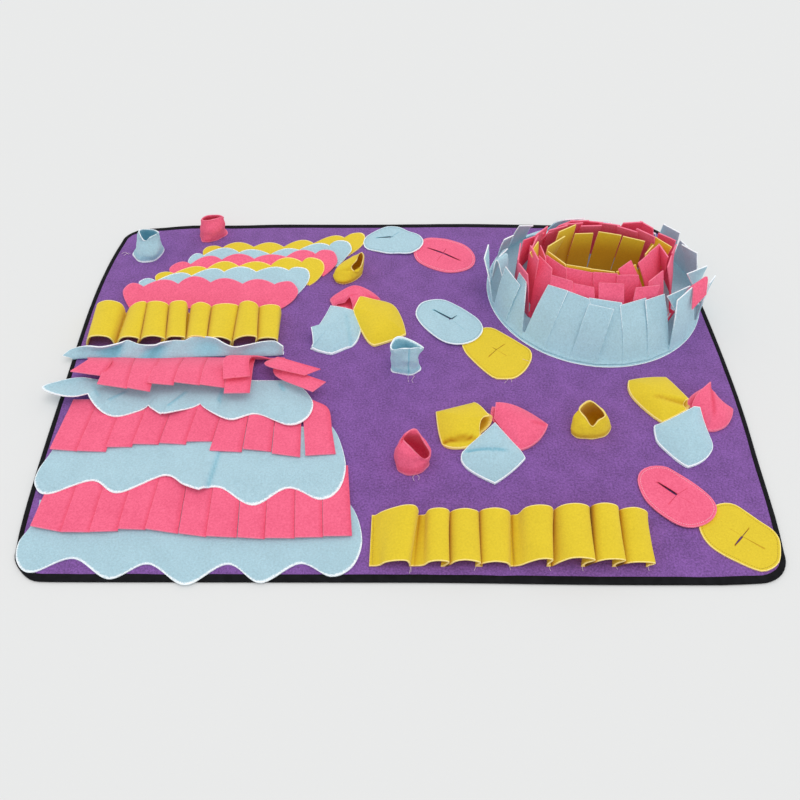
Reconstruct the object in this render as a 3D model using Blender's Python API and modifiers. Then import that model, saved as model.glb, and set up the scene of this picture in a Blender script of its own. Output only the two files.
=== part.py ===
"""Snuffle mat: a bound felt rectangle with rows of felt flaps, fringes, loops, cups, pockets and a nest.

Metres, +Z up. The origin is the middle of the mat's underside, +X runs along the mat to the right and
+Y away from the front edge. Every piece is one closed sheet of felt in the form in which it lies.
"""
import math
from collections import namedtuple

import bmesh
import bpy
from mathutils import Matrix, Vector

# ---------------------------------------------------------------- driving dimensions
MM = 0.001                # the longer tables below are in millimetres
MAT_WIDTH = 1.000
MAT_DEPTH = 0.740
MAT_THICK = 0.0030
LEFT_BOW = 0.016          # how far the short sides swell outwards at mid depth
RIGHT_BOW = 0.019
CORNER_RADIUS = 0.044
FELT = 0.0020             # thickness of every piece sewn on the mat
GAP = 0.0003              # clearance between pieces that touch
LAYER = FELT + GAP
MAT_TOP = MAT_THICK
LAID = MAT_TOP + GAP      # underside of a piece that lies on the mat

TAPE = 0.0008             # binding tape
TAPE_WIDTH = 0.0105       # what shows of it on top

PURPLE = (0.212, 0.084, 0.319)
PINK = (0.913, 0.145, 0.262)
BLUE = (0.434, 0.658, 0.745)
YELLOW = (0.768, 0.604, 0.033)
CHARCOAL = (0.024, 0.024, 0.029)

PARTS = "snuffle_mat"


# ---------------------------------------------------------------- tools
def clear_scene():
    for thing in list(bpy.data.objects):
        bpy.data.objects.remove(thing, do_unlink=True)


def make_material(name, colour, roughness=0.95):
    mat = bpy.data.materials.new(name)
    mat.use_nodes = True
    shader = mat.node_tree.nodes["Principled BSDF"]
    shader.inputs["Base Color"].default_value = (*colour, 1.0)
    shader.inputs["Roughness"].default_value = roughness
    shader.inputs["Metallic"].default_value = 0.0
    mat.diffuse_color = (*colour, 1.0)
    return mat


def new_object(name, data, finish):
    thing = bpy.data.objects.new(name, data)
    thing.data.materials.append(make_material(name, finish))
    bpy.data.collections[PARTS].objects.link(thing)
    return thing


def from_bmesh(name, bm, finish):
    mesh = bpy.data.meshes.new(name)
    bm.to_mesh(mesh)
    bm.free()
    mesh.shade_smooth()
    return new_object(name, mesh, finish)


def sheet(name, finish, columns, rows, place, cut=None, ring=False, grow=1.0):
    """A grid of felt put in its place by place(i, j), cut where cut(i, j) says, then thickened.

    ring joins the first column to the last; grow is the side on which the thickness is added."""
    bm = bmesh.new()
    bmesh.ops.create_grid(bm, x_segments=columns, y_segments=rows, size=1.0)
    if cut:
        waste = []
        for face in bm.faces:
            middle = face.calc_center_median()
            i = int((middle.x + 1.0) / 2.0 * columns)
            j = int((middle.y + 1.0) / 2.0 * rows)
            if cut(i, j):
                waste.append(face)
        bmesh.ops.delete(bm, geom=waste, context="FACES")
    for vert in bm.verts:
        i = round((vert.co.x + 1.0) / 2.0 * columns)
        j = round((vert.co.y + 1.0) / 2.0 * rows)
        vert.co = place(i, j)
    if ring:
        bmesh.ops.remove_doubles(bm, verts=bm.verts, dist=1e-6)
    thing = from_bmesh(name, bm, finish)
    solid = thing.modifiers.new("felt", "SOLIDIFY")
    solid.thickness = FELT
    solid.offset = grow
    solid.use_even_offset = True
    return thing


def loft(name, finish, rings, closed):
    """Rings of points joined in turn; closed joins the last to the first, else both ends are capped."""
    bm = bmesh.new()
    loops = [[bm.verts.new(point) for point in ring] for ring in rings]
    pairs = list(zip(loops, loops[1:] + loops[:1])) if closed else list(zip(loops, loops[1:]))
    for low, high in pairs:
        count = len(low)
        for k in range(count):
            bm.faces.new((low[k], low[(k + 1) % count], high[(k + 1) % count], high[k]))
    if not closed:
        bm.faces.new(loops[0][::-1])
        bm.faces.new(loops[-1])
    bmesh.ops.recalc_face_normals(bm, faces=bm.faces)
    return from_bmesh(name, bm, finish)


def mix(a, b, t):
    return a + (b - a) * t


def arch(t):
    """0 at a notch and 1 at the crown of a round scallop, for t counted in scallops."""
    return math.sqrt(max(0.0, 1 - (2 * (t % 1.0) - 1) ** 2))


def wobble(k, seed=0.0):
    """A repeatable unevenness from -1 to 1."""
    return math.sin(2.399 * k + seed) * 0.6 + math.sin(5.13 * k + 1.7 * seed + 0.8) * 0.4


# ---------------------------------------------------------------- mat and binding
def mat_outline(inset):
    """Points round the mat, counter-clockwise from the front right, inset from its outer edge."""
    half_x = MAT_WIDTH / 2
    half_y = MAT_DEPTH / 2
    radius = CORNER_RADIUS
    corner_steps = 4
    side_steps = 4
    points = []
    for sx, sy, start in ((1, -1, -90), (1, 1, 0), (-1, 1, 90), (-1, -1, 180)):
        cx = sx * (half_x - radius)
        cy = sy * (half_y - radius)
        for k in range(corner_steps + 1):
            turn = math.radians(start + 90 * k / corner_steps)
            points.append((cx + (radius - inset) * math.cos(turn), cy + (radius - inset) * math.sin(turn)))
        if sy * sx < 0:                       # end of a corner that leads into a short side
            for k in range(1, side_steps):
                y = sx * mix(-1, 1, k / side_steps) * (half_y - radius)
                points.append((sx * (half_x - inset), y))
    reach = half_y - radius
    bowed = []
    for x, y in points:
        along = min(1.0, abs(y) / reach)
        bow = RIGHT_BOW if x > 0 else -LEFT_BOW
        bowed.append((x + bow * (1 - along ** 3), y))
    return bowed


def build_mat():
    inner = TAPE_WIDTH + GAP
    edge = TAPE + GAP
    low = TAPE + GAP
    high = MAT_THICK - TAPE - GAP
    steps = ((inner, 0.0), (inner, low), (edge, low), (edge, high), (inner, high), (inner, MAT_THICK))
    rings = [[Vector((x, y, z)) for x, y in mat_outline(inset)] for inset, z in steps]
    loft("mat_base", PURPLE, rings, closed=False)


def build_binding():
    outer = mat_outline(0.0)
    section = (
        (0.0, 0.0), (TAPE_WIDTH, 0.0), (TAPE_WIDTH, TAPE), (TAPE, TAPE),
        (TAPE, MAT_THICK - TAPE), (TAPE_WIDTH, MAT_THICK - TAPE), (TAPE_WIDTH, MAT_THICK), (0.0, MAT_THICK),
    )
    outlines = {inset: mat_outline(inset) for inset, _ in section}
    rings = []
    for k in range(len(outer)):
        rings.append([Vector((*outlines[inset][k], z)) for inset, z in section])
    loft("edge_binding", CHARCOAL, rings, closed=True)


# ---------------------------------------------------------------- tiered rows on the left
Flap = namedtuple("Flap", "name seam_left seam_right seam_y slope end_left end_right edge")
# in mm: end_left and end_right are the outermost points (x, y, lift) of the two short ends; edge runs along the
# free edge, corner, crown, notch, crown ... corner, as (x, y, lift above the slope)
FLAPS = (
    Flap("flap_4", -490, -62, -248, 0.0, (-496, -318, 0), (-50, -305, 0), (
        (-491, -345, 0), (-469, -359, 0), (-418, -339, 0), (-366, -368, 1), (-323, -348, 3), (-270, -374, 1),
        (-223, -347, 1), (-173, -374, 0), (-129, -346, 1), (-88, -364, 0), (-61, -345, 0))),
    Flap("flap_3", -500, -88, -118, 0.039, (-507, -195, 0), (-75, -185, 0), (
        (-500, -224, 1), (-478, -239, 2), (-428, -218, 3), (-383, -239, 0), (-328, -209, 2), (-276, -239, 5),
        (-253, -229, 2), (-198, -257, 0), (-153, -229, 2), (-110, -249, 0), (-87, -232, 0))),
    Flap("flap_2", -503, -150, -26, 0.058, (-531, -34, 15), (-131, -72, 0), (
        (-545, -44, 20), (-505, -62, 17), (-468, -56, 10), (-423, -102, 5), (-376, -79, 1), (-338, -103, 5),
        (-297, -77, 1), (-241, -108, 6), (-201, -96, 2), (-155, -116, 4), (-134, -92, 1))),
)


def build_flap(row):
    """A flap sewn along its rear edge; between a crown and a notch one point keeps the crowns round."""
    line = [row.edge[0]]
    for k, (a, b) in enumerate(zip(row.edge, row.edge[1:])):
        crown, notch = (b, a) if k % 2 == 0 else (a, b)
        line.append(((a[0] + b[0]) / 2, mix(notch[1], crown[1], 0.68), (a[2] + b[2]) / 2))
        line.append(b)
    columns = len(line) - 1

    def place(i, j):
        s = i / columns
        x, y, lift = line[i]
        seam_x = mix(row.seam_left, row.seam_right, s)
        if j == 2:
            x, y, lift = seam_x, row.seam_y, 0.0
        elif j == 1:
            x, y, lift = (x + seam_x) / 2, (y + row.seam_y) / 2, lift * 0.1
            for end, share in ((row.end_left, 1 - 8 * s), (row.end_right, 8 * s - 7)):
                if share > 0:
                    x, y, lift = mix(x, end[0], share), mix(y, end[1], share), mix(lift, end[2], share)
        return Vector((x * MM, y * MM, LAID + row.slope * (row.seam_y - y) * MM + lift * MM))

    sheet(row.name, BLUE, columns, 2, place)


FLAP_LOBES = 5
STEPS_PER_LOBE = 4
FLAP_1_SEAM = 0.0345
# from the seam to the free edge: forward along the mat, up at the fold, then back against the loops
FLAP_1_PATH = ((0.0, 0.0), (-0.0075, 0.0006), (-0.0090, 0.0060), (-0.0010, 0.0160), (0.0085, 0.0255))


def build_flap_1():
    """The rearmost flap, folded up at its seam so that it leans back against the loops."""
    left, right = -0.500, -0.182
    columns = FLAP_LOBES * STEPS_PER_LOBE
    rows = len(FLAP_1_PATH) - 1

    def place(i, j):
        s = i / columns
        j = rows - j
        step_y, step_z = FLAP_1_PATH[j]
        crown = mix(0.45, 1.0, arch(s * FLAP_LOBES + 0.30)) * mix(0.62, 1.0, min(1.0, s * 1.8))
        if j > 2:
            step_y = mix(FLAP_1_PATH[2][0], step_y, crown)
            step_z = mix(FLAP_1_PATH[2][1], step_z, crown)
        out = max(0.0, 1 - s * 7)
        return Vector((mix(left, right, s) - 0.020 * out * min(1.0, j / 3), FLAP_1_SEAM + step_y - 0.004 * out,
                       LAID + step_z + 0.004 * out))

    sheet("flap_1", BLUE, columns, rows, place)


Fringe = namedtuple("Fringe", "name seam_left seam_right seam_y slope cuts ends")
# in mm: cuts are the x of the tongues' edges at the free end, ends the y where each tongue ends
FRINGES = (
    Fringe("fringe_3", -482, -72, -188, 0.043,
           (-487, -443, -405, -372, -335, -291, -255, -213, -177, -137, -100, -61),
           (-297, -302, -301, -297, -299, -304, -308, -310, -310, -309, -307)),
    Fringe("fringe_2", -491, -108, -66, 0.046,
           (-498, -456, -417, -380, -343, -305, -266, -223, -182, -139, -92),
           (-168, -168, -164, -161, -158, -153, -174, -171, -176, -175)),
)
FRINGE_HEAD = 18          # uncut strip along the seam
FRINGE_SLIT = 1.2


def build_fringe(row):
    tongues = len(row.ends)

    def place(i, j):
        k, right_side = divmod(i, 2)
        slit = (-FRINGE_SLIT / 2 if right_side else FRINGE_SLIT / 2) * MM
        at_seam = mix(row.seam_left, row.seam_right, (k + right_side) / tongues)
        at_end = row.cuts[k + right_side]
        y = (row.ends[k], row.seam_y - FRINGE_HEAD, row.seam_y)[j]
        x = mix(at_seam, at_end, (row.seam_y - y) / (row.seam_y - row.ends[k]))
        return Vector((x * MM + slit, y * MM, LAID + row.slope * (row.seam_y - y) * MM))

    sheet(row.name, PINK, 2 * tongues - 1, 2, place, cut=lambda i, j: i % 2 and j == 0)


Tongue = namedtuple("Tongue", "left right mid_x mid_y mid_z end_x end_y end_z width turn")
# fringe_1 has been ruffled: in mm where each tongue starts, the middle and the end of its path, its width
# at the end and how far it has turned there
RUFFLED = (
    Tongue(-490, -456, -479, 2, 15, -486, -18, 23, 42, 4),
    Tongue(-455, -417, -443, -22, 21, -451, -60, 29, 36, 0),
    Tongue(-416, -379, -405, -22, 22, -413, -69, 30, 35, 0),
    Tongue(-378, -342, -367, -22, 22, -376, -74, 28, 34, 0),
    Tongue(-341, -304, -330, -22, 22, -337, -62, 28, 34, 0),
    Tongue(-303, -265, -291, -22, 21, -298, -64, 26, 35, 0),
    Tongue(-264, -225, -243, -14, 33, -244, -64, 26, 36, 0),
    Tongue(-224, -199, -176, -32, 17, -113, -60, 24, 30, 52),
    Tongue(-198, -183, -160, -12, 16, -122, -27, 24, 24, 66),
)


def build_fringe_1():
    seam, head = 21.5, 14

    def place(i, j):
        tongue = RUFFLED[i // 2]
        right_side = i % 2
        if j >= 2:
            x = tongue.right if right_side else tongue.left
            return Vector((x * MM, (seam if j == 3 else seam - head) * MM, LAID + (0.0 if j == 3 else 0.0006)))
        if j == 0:
            x, y, z, width, turn = tongue.end_x, tongue.end_y, tongue.end_z, tongue.width, tongue.turn
        else:
            x, y, z, turn = tongue.mid_x, tongue.mid_y, tongue.mid_z, tongue.turn * 0.7
            width = (tongue.width + tongue.right - tongue.left) / 2
        side = (width if right_side else -width) / 2
        return Vector((x + side * math.cos(math.radians(turn)), y + side * math.sin(math.radians(turn)), z)) * MM

    sheet("fringe_1", PINK, 2 * len(RUFFLED) - 1, 3, place, cut=lambda i, j: i % 2 and j < 2)


# ---------------------------------------------------------------- loop strips
# one loop from seam to seam: share of its width, share of its height
ARCHED = ((0.08, 0.0), (0.14, 0.55), (0.32, 0.95), (0.64, 1.0), (0.86, 0.60), (0.92, 0.0))
LEANING = ((0.04, 0.0), (0.20, 0.42), (0.40, 0.84), (0.68, 1.0), (0.95, 0.90), (1.01, 0.45), (0.91, 0.0))
Loops = namedtuple("Loops", "name ends front back height shape")
LOOP_STRIPS = (
    Loops("rear_loops", (-0.498, -0.451, -0.411, -0.378, -0.345, -0.311, -0.267, -0.232, -0.196),
          0.047, 0.125, 0.027, ARCHED),
    Loops("front_loops", (-0.030, 0.018, 0.059, 0.103, 0.145, 0.190, 0.232, 0.273, 0.313),
          -0.348, -0.272, 0.026, LEANING),
)
TAB = 0.010               # flat ends of a strip, sewn down


def build_loops(strip):
    line = [(strip.ends[0] - TAB, 0.0)]
    for k, (start, stop) in enumerate(zip(strip.ends, strip.ends[1:])):
        width = stop - start
        tall = strip.height * (1 + 0.10 * wobble(k, strip.front * 30))
        line.extend((start + width * across, tall * up) for across, up in strip.shape)
    line.append((strip.ends[-1] + TAB * 0.5, 0.0))
    columns = len(line) - 1

    def place(i, j):
        x, z = line[i]
        return Vector((x, (strip.front, strip.back)[j], LAID + z))

    sheet(strip.name, YELLOW, columns, 1, place)


# ---------------------------------------------------------------- scalloped strips
Cloud = namedtuple("Cloud", "name finish left right front_left front_right top_left top_right")
CLOUDS = (
    Cloud("cloud_1", PINK, -0.470, -0.172, 0.137, 0.137, 0.201, 0.211),
    Cloud("cloud_2", BLUE, -0.442, -0.153, 0.161, 0.175, 0.216, 0.246),
    Cloud("cloud_3", YELLOW, -0.414, -0.131, 0.184, 0.200, 0.232, 0.272),
    Cloud("cloud_4", PINK, -0.391, -0.109, 0.207, 0.225, 0.258, 0.295),
    Cloud("cloud_5", BLUE, -0.370, -0.086, 0.230, 0.250, 0.283, 0.319),
    Cloud("cloud_6", YELLOW, -0.352, -0.067, 0.253, 0.275, 0.306, 0.345),
)
CLOUD_LOBES = 6
CLOUD_DIP = 0.013
CLOUD_SLOPE = 0.114       # each strip climbs over the sewn edge of the one behind it


def build_cloud(strip):
    columns = CLOUD_LOBES * STEPS_PER_LOBE

    def place(i, v):
        s = i / columns                        # v is 0 at the sewn front edge, 1 at the scallops
        front = mix(strip.front_left, strip.front_right, s)
        end = abs(2 * s - 1) ** 12
        top = mix(strip.top_left, strip.top_right, s) - CLOUD_DIP * (1 - arch(s * CLOUD_LOBES)) - 0.010 * end
        y = mix(front, top, v)
        x = mix(strip.left, strip.right, s) - math.copysign(0.016 * (1 - v) * end, s - 0.5)
        rise = 0.0 if strip is CLOUDS[-1] else CLOUD_SLOPE * (y - front)
        return Vector((x, y, LAID + rise))

    sheet(strip.name, strip.finish, columns, 1, place)


# ---------------------------------------------------------------- slit ovals
Oval = namedtuple("Oval", "name finish x y angle tilt")
OVALS = (
    Oval("oval_1_pink", PINK, 0.081, 0.287, 149, 0.0),
    Oval("oval_1_blue", BLUE, -0.008, 0.327, 171, 0.030),
    Oval("oval_2_yellow", YELLOW, 0.156, 0.037, 130, 0.0),
    Oval("oval_2_blue", BLUE, 0.083, 0.113, 137, 0.029),
    Oval("oval_3_yellow", YELLOW, 0.454, -0.299, 134, 0.0),
    Oval("oval_3_pink", PINK, 0.3835, -0.2365, 134, 0.029),
)
OVAL_LENGTH = 0.118
OVAL_WIDTH = 0.087
OVAL_SIDES = 20
SLIT_LENGTH = 0.056
SLIT_ACROSS = 0.040
SLIT_OPEN = 0.0012


def ring_of_points(spline, points):
    spline.points.add(len(points) - 1)
    for point, (x, y) in zip(spline.points, points):
        point.co = (x, y, 0.0, 1.0)
    spline.use_cyclic_u = True


def build_oval(oval):
    """A flat oval with a cross cut in it; tilt lifts the end that lies on its neighbour."""
    curve = bpy.data.curves.new(oval.name, "CURVE")
    curve.dimensions = "2D"
    curve.fill_mode = "BOTH"
    curve.extrude = FELT / 2
    turns = [2 * math.pi * k / OVAL_SIDES for k in range(OVAL_SIDES)]
    rim = [(OVAL_LENGTH / 2 * math.cos(turn), OVAL_WIDTH / 2 * math.sin(turn)) for turn in turns]
    long, short, half = SLIT_LENGTH / 2, SLIT_ACROSS / 2, SLIT_OPEN / 2
    cross = [(long, -half), (long, half), (half, half), (half, short), (-half, short), (-half, half),
             (-long, half), (-long, -half), (-half, -half), (-half, -short), (half, -short), (half, -half)]
    ring_of_points(curve.splines.new("POLY"), rim)
    ring_of_points(curve.splines.new("POLY"), cross)
    guide = bpy.data.objects.new(oval.name + "_outline", curve)
    bpy.data.collections[PARTS].objects.link(guide)
    mesh = bpy.data.meshes.new_from_object(guide.evaluated_get(bpy.context.evaluated_depsgraph_get()))
    bpy.data.objects.remove(guide, do_unlink=True)
    bm = bmesh.new()
    bm.from_mesh(mesh)
    bmesh.ops.remove_doubles(bm, verts=bm.verts, dist=1e-5)
    bpy.data.meshes.remove(mesh)
    thing = from_bmesh(oval.name, bm, oval.finish)
    lift = oval.tilt * OVAL_LENGTH / 2
    turn = Matrix.Rotation(math.radians(oval.angle), 4, "Z") @ Matrix.Rotation(oval.tilt, 4, "Y")
    thing.matrix_world = Matrix.Translation((oval.x, oval.y, LAID + FELT / 2 + lift)) @ turn


# ---------------------------------------------------------------- rolled cups
Cup = namedtuple("Cup", "name finish x y skirt radius_x radius_y top height lean_x lean_y notch notch_at")
CUPS = (
    Cup("cup_blue_rear", BLUE, -0.445, 0.284, 0.029, 0.0215, 0.020, 0.95, 0.048, 0.006, 0.004, 0.34, 250),
    Cup("cup_pink_rear", PINK, -0.337, 0.334, 0.0265, 0.0235, 0.019, 0.98, 0.041, -0.001, 0.000, 0.06, 250),
    Cup("cup_blue_mid", BLUE, 0.011, 0.012, 0.0245, 0.0225, 0.018, 1.02, 0.050, 0.001, 0.002, 0.10, 270),
    Cup("cup_yellow_mid", YELLOW, -0.086, 0.222, 0.0265, 0.0235, 0.020, 0.42, 0.040, 0.013, 0.005, 0.30, 300),
    Cup("cup_pink_front", PINK, 0.020, -0.179, 0.0270, 0.0240, 0.022, 0.55, 0.056, 0.001, 0.004, 0.40, 320),
    Cup("cup_yellow_front", YELLOW, 0.283, -0.112, 0.0285, 0.0250, 0.023, 0.66, 0.042, 0.001, 0.006, 0.60, 275),
)
CUP_SIDES = 12


def build_cup(cup):
    levels = (0.0, 0.10, 0.55, 1.0)

    def place(i, j):
        turn = 2 * math.pi * (i % CUP_SIDES) / CUP_SIDES
        level = levels[j]
        if j == 0:
            wide, deep = cup.skirt, cup.skirt * cup.radius_y / cup.radius_x
        else:
            shrink = mix(1.0, cup.top, max(0.0, (level - 0.3) / 0.7))
            wide, deep = cup.radius_x * shrink - FELT, cup.radius_y * shrink - FELT
        away = abs((math.degrees(turn) - cup.notch_at + 180) % 360 - 180)
        dip = cup.notch * max(0.0, 1 - away / 75) * level ** 3
        tall = cup.height * level * (1 - dip)
        return Vector((cup.x + wide * math.cos(turn) + cup.lean_x * level,
                       cup.y + deep * math.sin(turn) + cup.lean_y * level, LAID + tall))

    sheet(cup.name, cup.finish, CUP_SIDES, len(levels) - 1, place, ring=True)


# ---------------------------------------------------------------- pocket petals
Petal = namedtuple("Petal", "name finish tall lip back rows")
# in mm: tall is the height at the mouth, lip how far the top reaches out over it and back how far the floor stops
# short; rows run from the mouth to the tip as (left x, left y, right x, right y), seen looking towards the tip
PETALS = (
    Petal("petal_a_pink", PINK, 21, 0, 6,
          ((-115, 146, -33, 151), (-109, 164, -41, 166), (-95, 178, -55, 178), (-83, 186, -70, 187))),
    Petal("petal_a_blue", BLUE, 16, 4, 4,
          ((-80, 126, -113, 137), (-71, 93, -125, 96), (-70, 63, -140, 70), (-107, 28, -137, 38))),
    Petal("petal_a_yellow", YELLOW, 15, 3, 4,
          ((-63, 156, -73, 124), (-11, 139, -58, 90), (8, 99, -52, 58), (10, 71, -39, 46))),
    Petal("petal_b_yellow", YELLOW, 19, 0, 2,
          ((114, -138, 134, -101), (97, -154, 112, -77), (70, -157, 88, -84), (57, -139, 56, -93))),
    Petal("petal_b_pink", PINK, 17, 0, 5,
          ((146, -76, 146, -106), (167, -79, 160, -131), (191, -93, 176, -155), (218, -117, 197, -149))),
    Petal("petal_b_blue", BLUE, 17, 10, 2,
          ((158, -154, 119, -148), (178, -180, 88, -174), (163, -197, 105, -203), (136, -221, 127, -221))),
    Petal("petal_c_yellow", YELLOW, 19, 0, 5,
          ((424, -89, 433, -68), (398, -104, 424, -49), (368, -85, 405, -25), (352, -54, 354, -30))),
    Petal("petal_c_pink", PINK, 22, 0, 5,
          ((478, -36, 444, -76), (482, -63, 458, -100), (493, -78, 466, -117), (500, -88, 484, -114))),
    Petal("petal_c_blue", BLUE, 16, 9, 2,
          ((443, -114, 400, -118), (449, -136, 377, -130), (446, -164, 380, -163), (418, -187, 404, -189))),
)
# a cross-section of the pouch: share of the half width, share of the hollow's height
PETAL_RING = ((-1.0, 0.22), (-0.78, 0.78), (0.0, 1.0), (0.78, 0.78),
              (1.0, 0.22), (0.62, 0.0), (0.0, 0.0), (-0.62, 0.0))
PETAL_HOLLOW = 0.7        # what is left open between top and floor at the tip, mm


def build_petal(petal):
    """A flattened pouch: a floor and an arched top that are one sheet, open at the mouth."""
    columns = len(PETAL_RING)
    last = len(petal.rows) - 1
    sides = [(Vector(row[:2]), Vector(row[2:])) for row in petal.rows]
    middles = [(left + right) / 2 for left, right in sides]
    outward = (middles[0] - middles[-1]).normalized()

    def place(i, j):
        side, up = PETAL_RING[i % columns]
        left, right = sides[j]
        across = (left - right) / 2
        across -= across.normalized() * FELT / MM
        flat = middles[j] + across * side
        if j == 0:
            flat += outward * (petal.lip * up - petal.back * (1 - up))
        inside = mix(petal.tall - 2 * FELT / MM, PETAL_HOLLOW, (j / last) ** 1.3)
        return Vector((flat.x * MM, flat.y * MM, LAID + FELT + GAP / 2 + inside * up * MM))

    sheet(petal.name, petal.finish, columns, last, place, ring=True, grow=-1.0)


# ---------------------------------------------------------------- nest
NEST_X = 0.332
NEST_Y = 0.1855
NEST_RADIUS = 0.1805
Ring = namedtuple("Ring", "name finish radius tongues length head top_front top_rear top_side fill")
# top_front, top_rear and top_side are the radii that the tongues' ends reach at the front, back and sides
RINGS = (
    Ring("nest_blue", BLUE, 0.166, 26, 0.086, 0.012, 0.106, 0.104, 0.177, 0.88),
    Ring("nest_pink_outer", PINK, 0.133, 20, 0.094, 0.014, 0.0805, 0.0805, 0.117, 0.86),
    Ring("nest_pink_inner", PINK, 0.116, 18, 0.094, 0.014, 0.0665, 0.0665, 0.100, 0.86),
    Ring("nest_yellow", YELLOW, 0.100, 14, 0.096, 0.014, 0.052, 0.052, 0.086, 0.84),
)
TONGUE_OVERLAP = 0.001    # how far a tongue's end reaches past its share of the ring
STAGGER = 0.0054          # alternate tongues stand this much farther out at their ends


def build_nest_disc():
    bm = bmesh.new()
    bmesh.ops.create_cone(bm, cap_ends=True, segments=40, radius1=NEST_RADIUS, radius2=NEST_RADIUS, depth=FELT)
    bmesh.ops.translate(bm, verts=bm.verts, vec=(NEST_X, NEST_Y, LAID + FELT / 2))
    from_bmesh("nest_disc", bm, BLUE)


def ring_top(ring, turn):
    """The radius that the tongues' ends reach at this angle."""
    face = ring.top_rear if math.sin(turn) > 0 else ring.top_front
    return mix(ring.top_side, face, abs(math.sin(turn)) ** 1.2)


def build_ring(ring):
    """A comb of tongues sewn down in a circle; at the front and back its tongues lean in over the nest."""
    columns = 2 * ring.tongues
    floor = LAID + LAYER + GAP
    pitch = 2 * math.pi / ring.tongues

    def place(i, j):
        k = (i % columns) // 2
        middle = (k + 0.5) * pitch
        half = pitch * ring.fill / 2
        if j == 0:                            # a tongue keeps its width until it meets the next ones
            top = ring_top(ring, middle)
            half = min(half * ring.radius / top, pitch / 2 + TONGUE_OVERLAP / top)
        turn = middle + half * (1 if i % 2 else -1)
        lean_in = ring.radius - ring_top(ring, turn)
        if j == 0:
            climb = ring.length * (1 + 0.03 * wobble(k, ring.radius * 50))
            lean_in += STAGGER * (0.5 if k % 2 else -0.5) + 0.0004 * wobble(k, ring.radius * 90)
            radius = ring.radius - lean_in
            up = math.sqrt(climb * climb - lean_in * lean_in)
        else:
            share = (ring.head / ring.length, 0.0)[j - 1]
            radius = ring.radius - lean_in * share * 0.6
            up = ring.length * share
        return Vector((NEST_X + radius * math.cos(turn), NEST_Y + radius * math.sin(turn), floor + up))

    sheet(ring.name, ring.finish, columns, 2, place, cut=lambda i, j: i % 2 and j == 0, ring=True, grow=-1.0)


# ---------------------------------------------------------------- build
def main():
    clear_scene()
    parts = bpy.data.collections.new(PARTS)
    bpy.context.scene.collection.children.link(parts)
    build_mat()
    build_binding()
    for row in FLAPS:
        build_flap(row)
    build_flap_1()
    for row in FRINGES:
        build_fringe(row)
    build_fringe_1()
    for strip in LOOP_STRIPS:
        build_loops(strip)
    for strip in CLOUDS:
        build_cloud(strip)
    for oval in OVALS:
        build_oval(oval)
    for cup in CUPS:
        build_cup(cup)
    for petal in PETALS:
        build_petal(petal)
    build_nest_disc()
    for ring in RINGS:
        build_ring(ring)
    bpy.context.view_layer.update()


main()
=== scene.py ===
"""Snuffle mat in felt: a bound base with rows of flaps, fringes, loops, cups, pockets and a nest sewn on it.

Metres, +Z up, +X to the right and +Y away from the front edge, with the origin under the middle of the mat.
Every piece is a thin sheet of felt in the form in which it lies. Tables are in millimetres.
"""

import math
from bisect import bisect
from collections import namedtuple

import bmesh
import bpy
from bpy.props import FloatProperty, FloatVectorProperty, PointerProperty
from mathutils import Matrix, Vector, noise


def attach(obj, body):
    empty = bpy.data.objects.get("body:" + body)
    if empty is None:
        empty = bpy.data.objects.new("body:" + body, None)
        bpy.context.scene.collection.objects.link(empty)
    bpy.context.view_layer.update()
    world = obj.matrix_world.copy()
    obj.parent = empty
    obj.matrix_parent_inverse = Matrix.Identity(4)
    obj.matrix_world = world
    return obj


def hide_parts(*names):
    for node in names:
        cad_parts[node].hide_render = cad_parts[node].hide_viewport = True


bl_info = {
    "name": "Snuffle mat",
    "version": (1, 0, 0),
    "blender": (4, 5, 0),
    "location": "3D View > Sidebar > Snuffle mat",
    "description": "A felt snuffle mat with flaps, fringes, loops, cups, pockets and a nest",
    "category": "Add Mesh",
}

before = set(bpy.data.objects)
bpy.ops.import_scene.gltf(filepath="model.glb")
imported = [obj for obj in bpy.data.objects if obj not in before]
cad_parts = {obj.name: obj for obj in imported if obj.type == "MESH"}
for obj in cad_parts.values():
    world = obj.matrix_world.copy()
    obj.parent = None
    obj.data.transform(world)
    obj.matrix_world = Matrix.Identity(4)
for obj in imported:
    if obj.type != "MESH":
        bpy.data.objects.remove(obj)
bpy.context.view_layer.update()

MM = 0.001
BODY = "root"
MAT_WIDTH = 1.000
MAT_DEPTH = 0.740
MAT_THICK = 0.0030
LAID = 0.0033             # underside of a piece that lies on the mat
EDGE = 0.9                # mm of a piece's border that shows the fuzz of the cut
BAND_FALL = 1.6           # the fuzz has died away at this many times the width of its band
WORN_ANGLE = 55           # degrees; edges sharper than this are worn round
RIM_STEP = 3.0            # mm between the points of a cut rim
RIPPLE_SCALE = 38         # about how many ripples there are in a metre


def linear(code):
    """Linear colour of an sRGB hex value."""
    parts = [int(code[k:k + 2], 16) / 255 for k in (1, 3, 5)]
    return [p / 12.92 if p <= 0.04045 else ((p + 0.055) / 1.055) ** 2.4 for p in parts]


def colour_property(name, code, description):
    return FloatVectorProperty(name=name, description=description, subtype="COLOR", size=3, min=0, max=1,
                               default=linear(code))


class FeltColours(bpy.types.PropertyGroup):
    purple: colour_property("Base", "#7D5299", "Felt of the mat itself")
    pink: colour_property("Pink", "#F66A8B", "Felt of the fringes and other pink pieces")
    blue: colour_property("Light blue", "#AAC4CE", "Felt of the flaps and other blue pieces")
    yellow: colour_property("Yellow", "#E6CB33", "Felt of the loops and other yellow pieces")
    charcoal: colour_property("Binding", "#121215", "Tape round the edge")
    floor: colour_property("Floor", "#E5E5E4", "Studio floor and backdrop")


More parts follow.
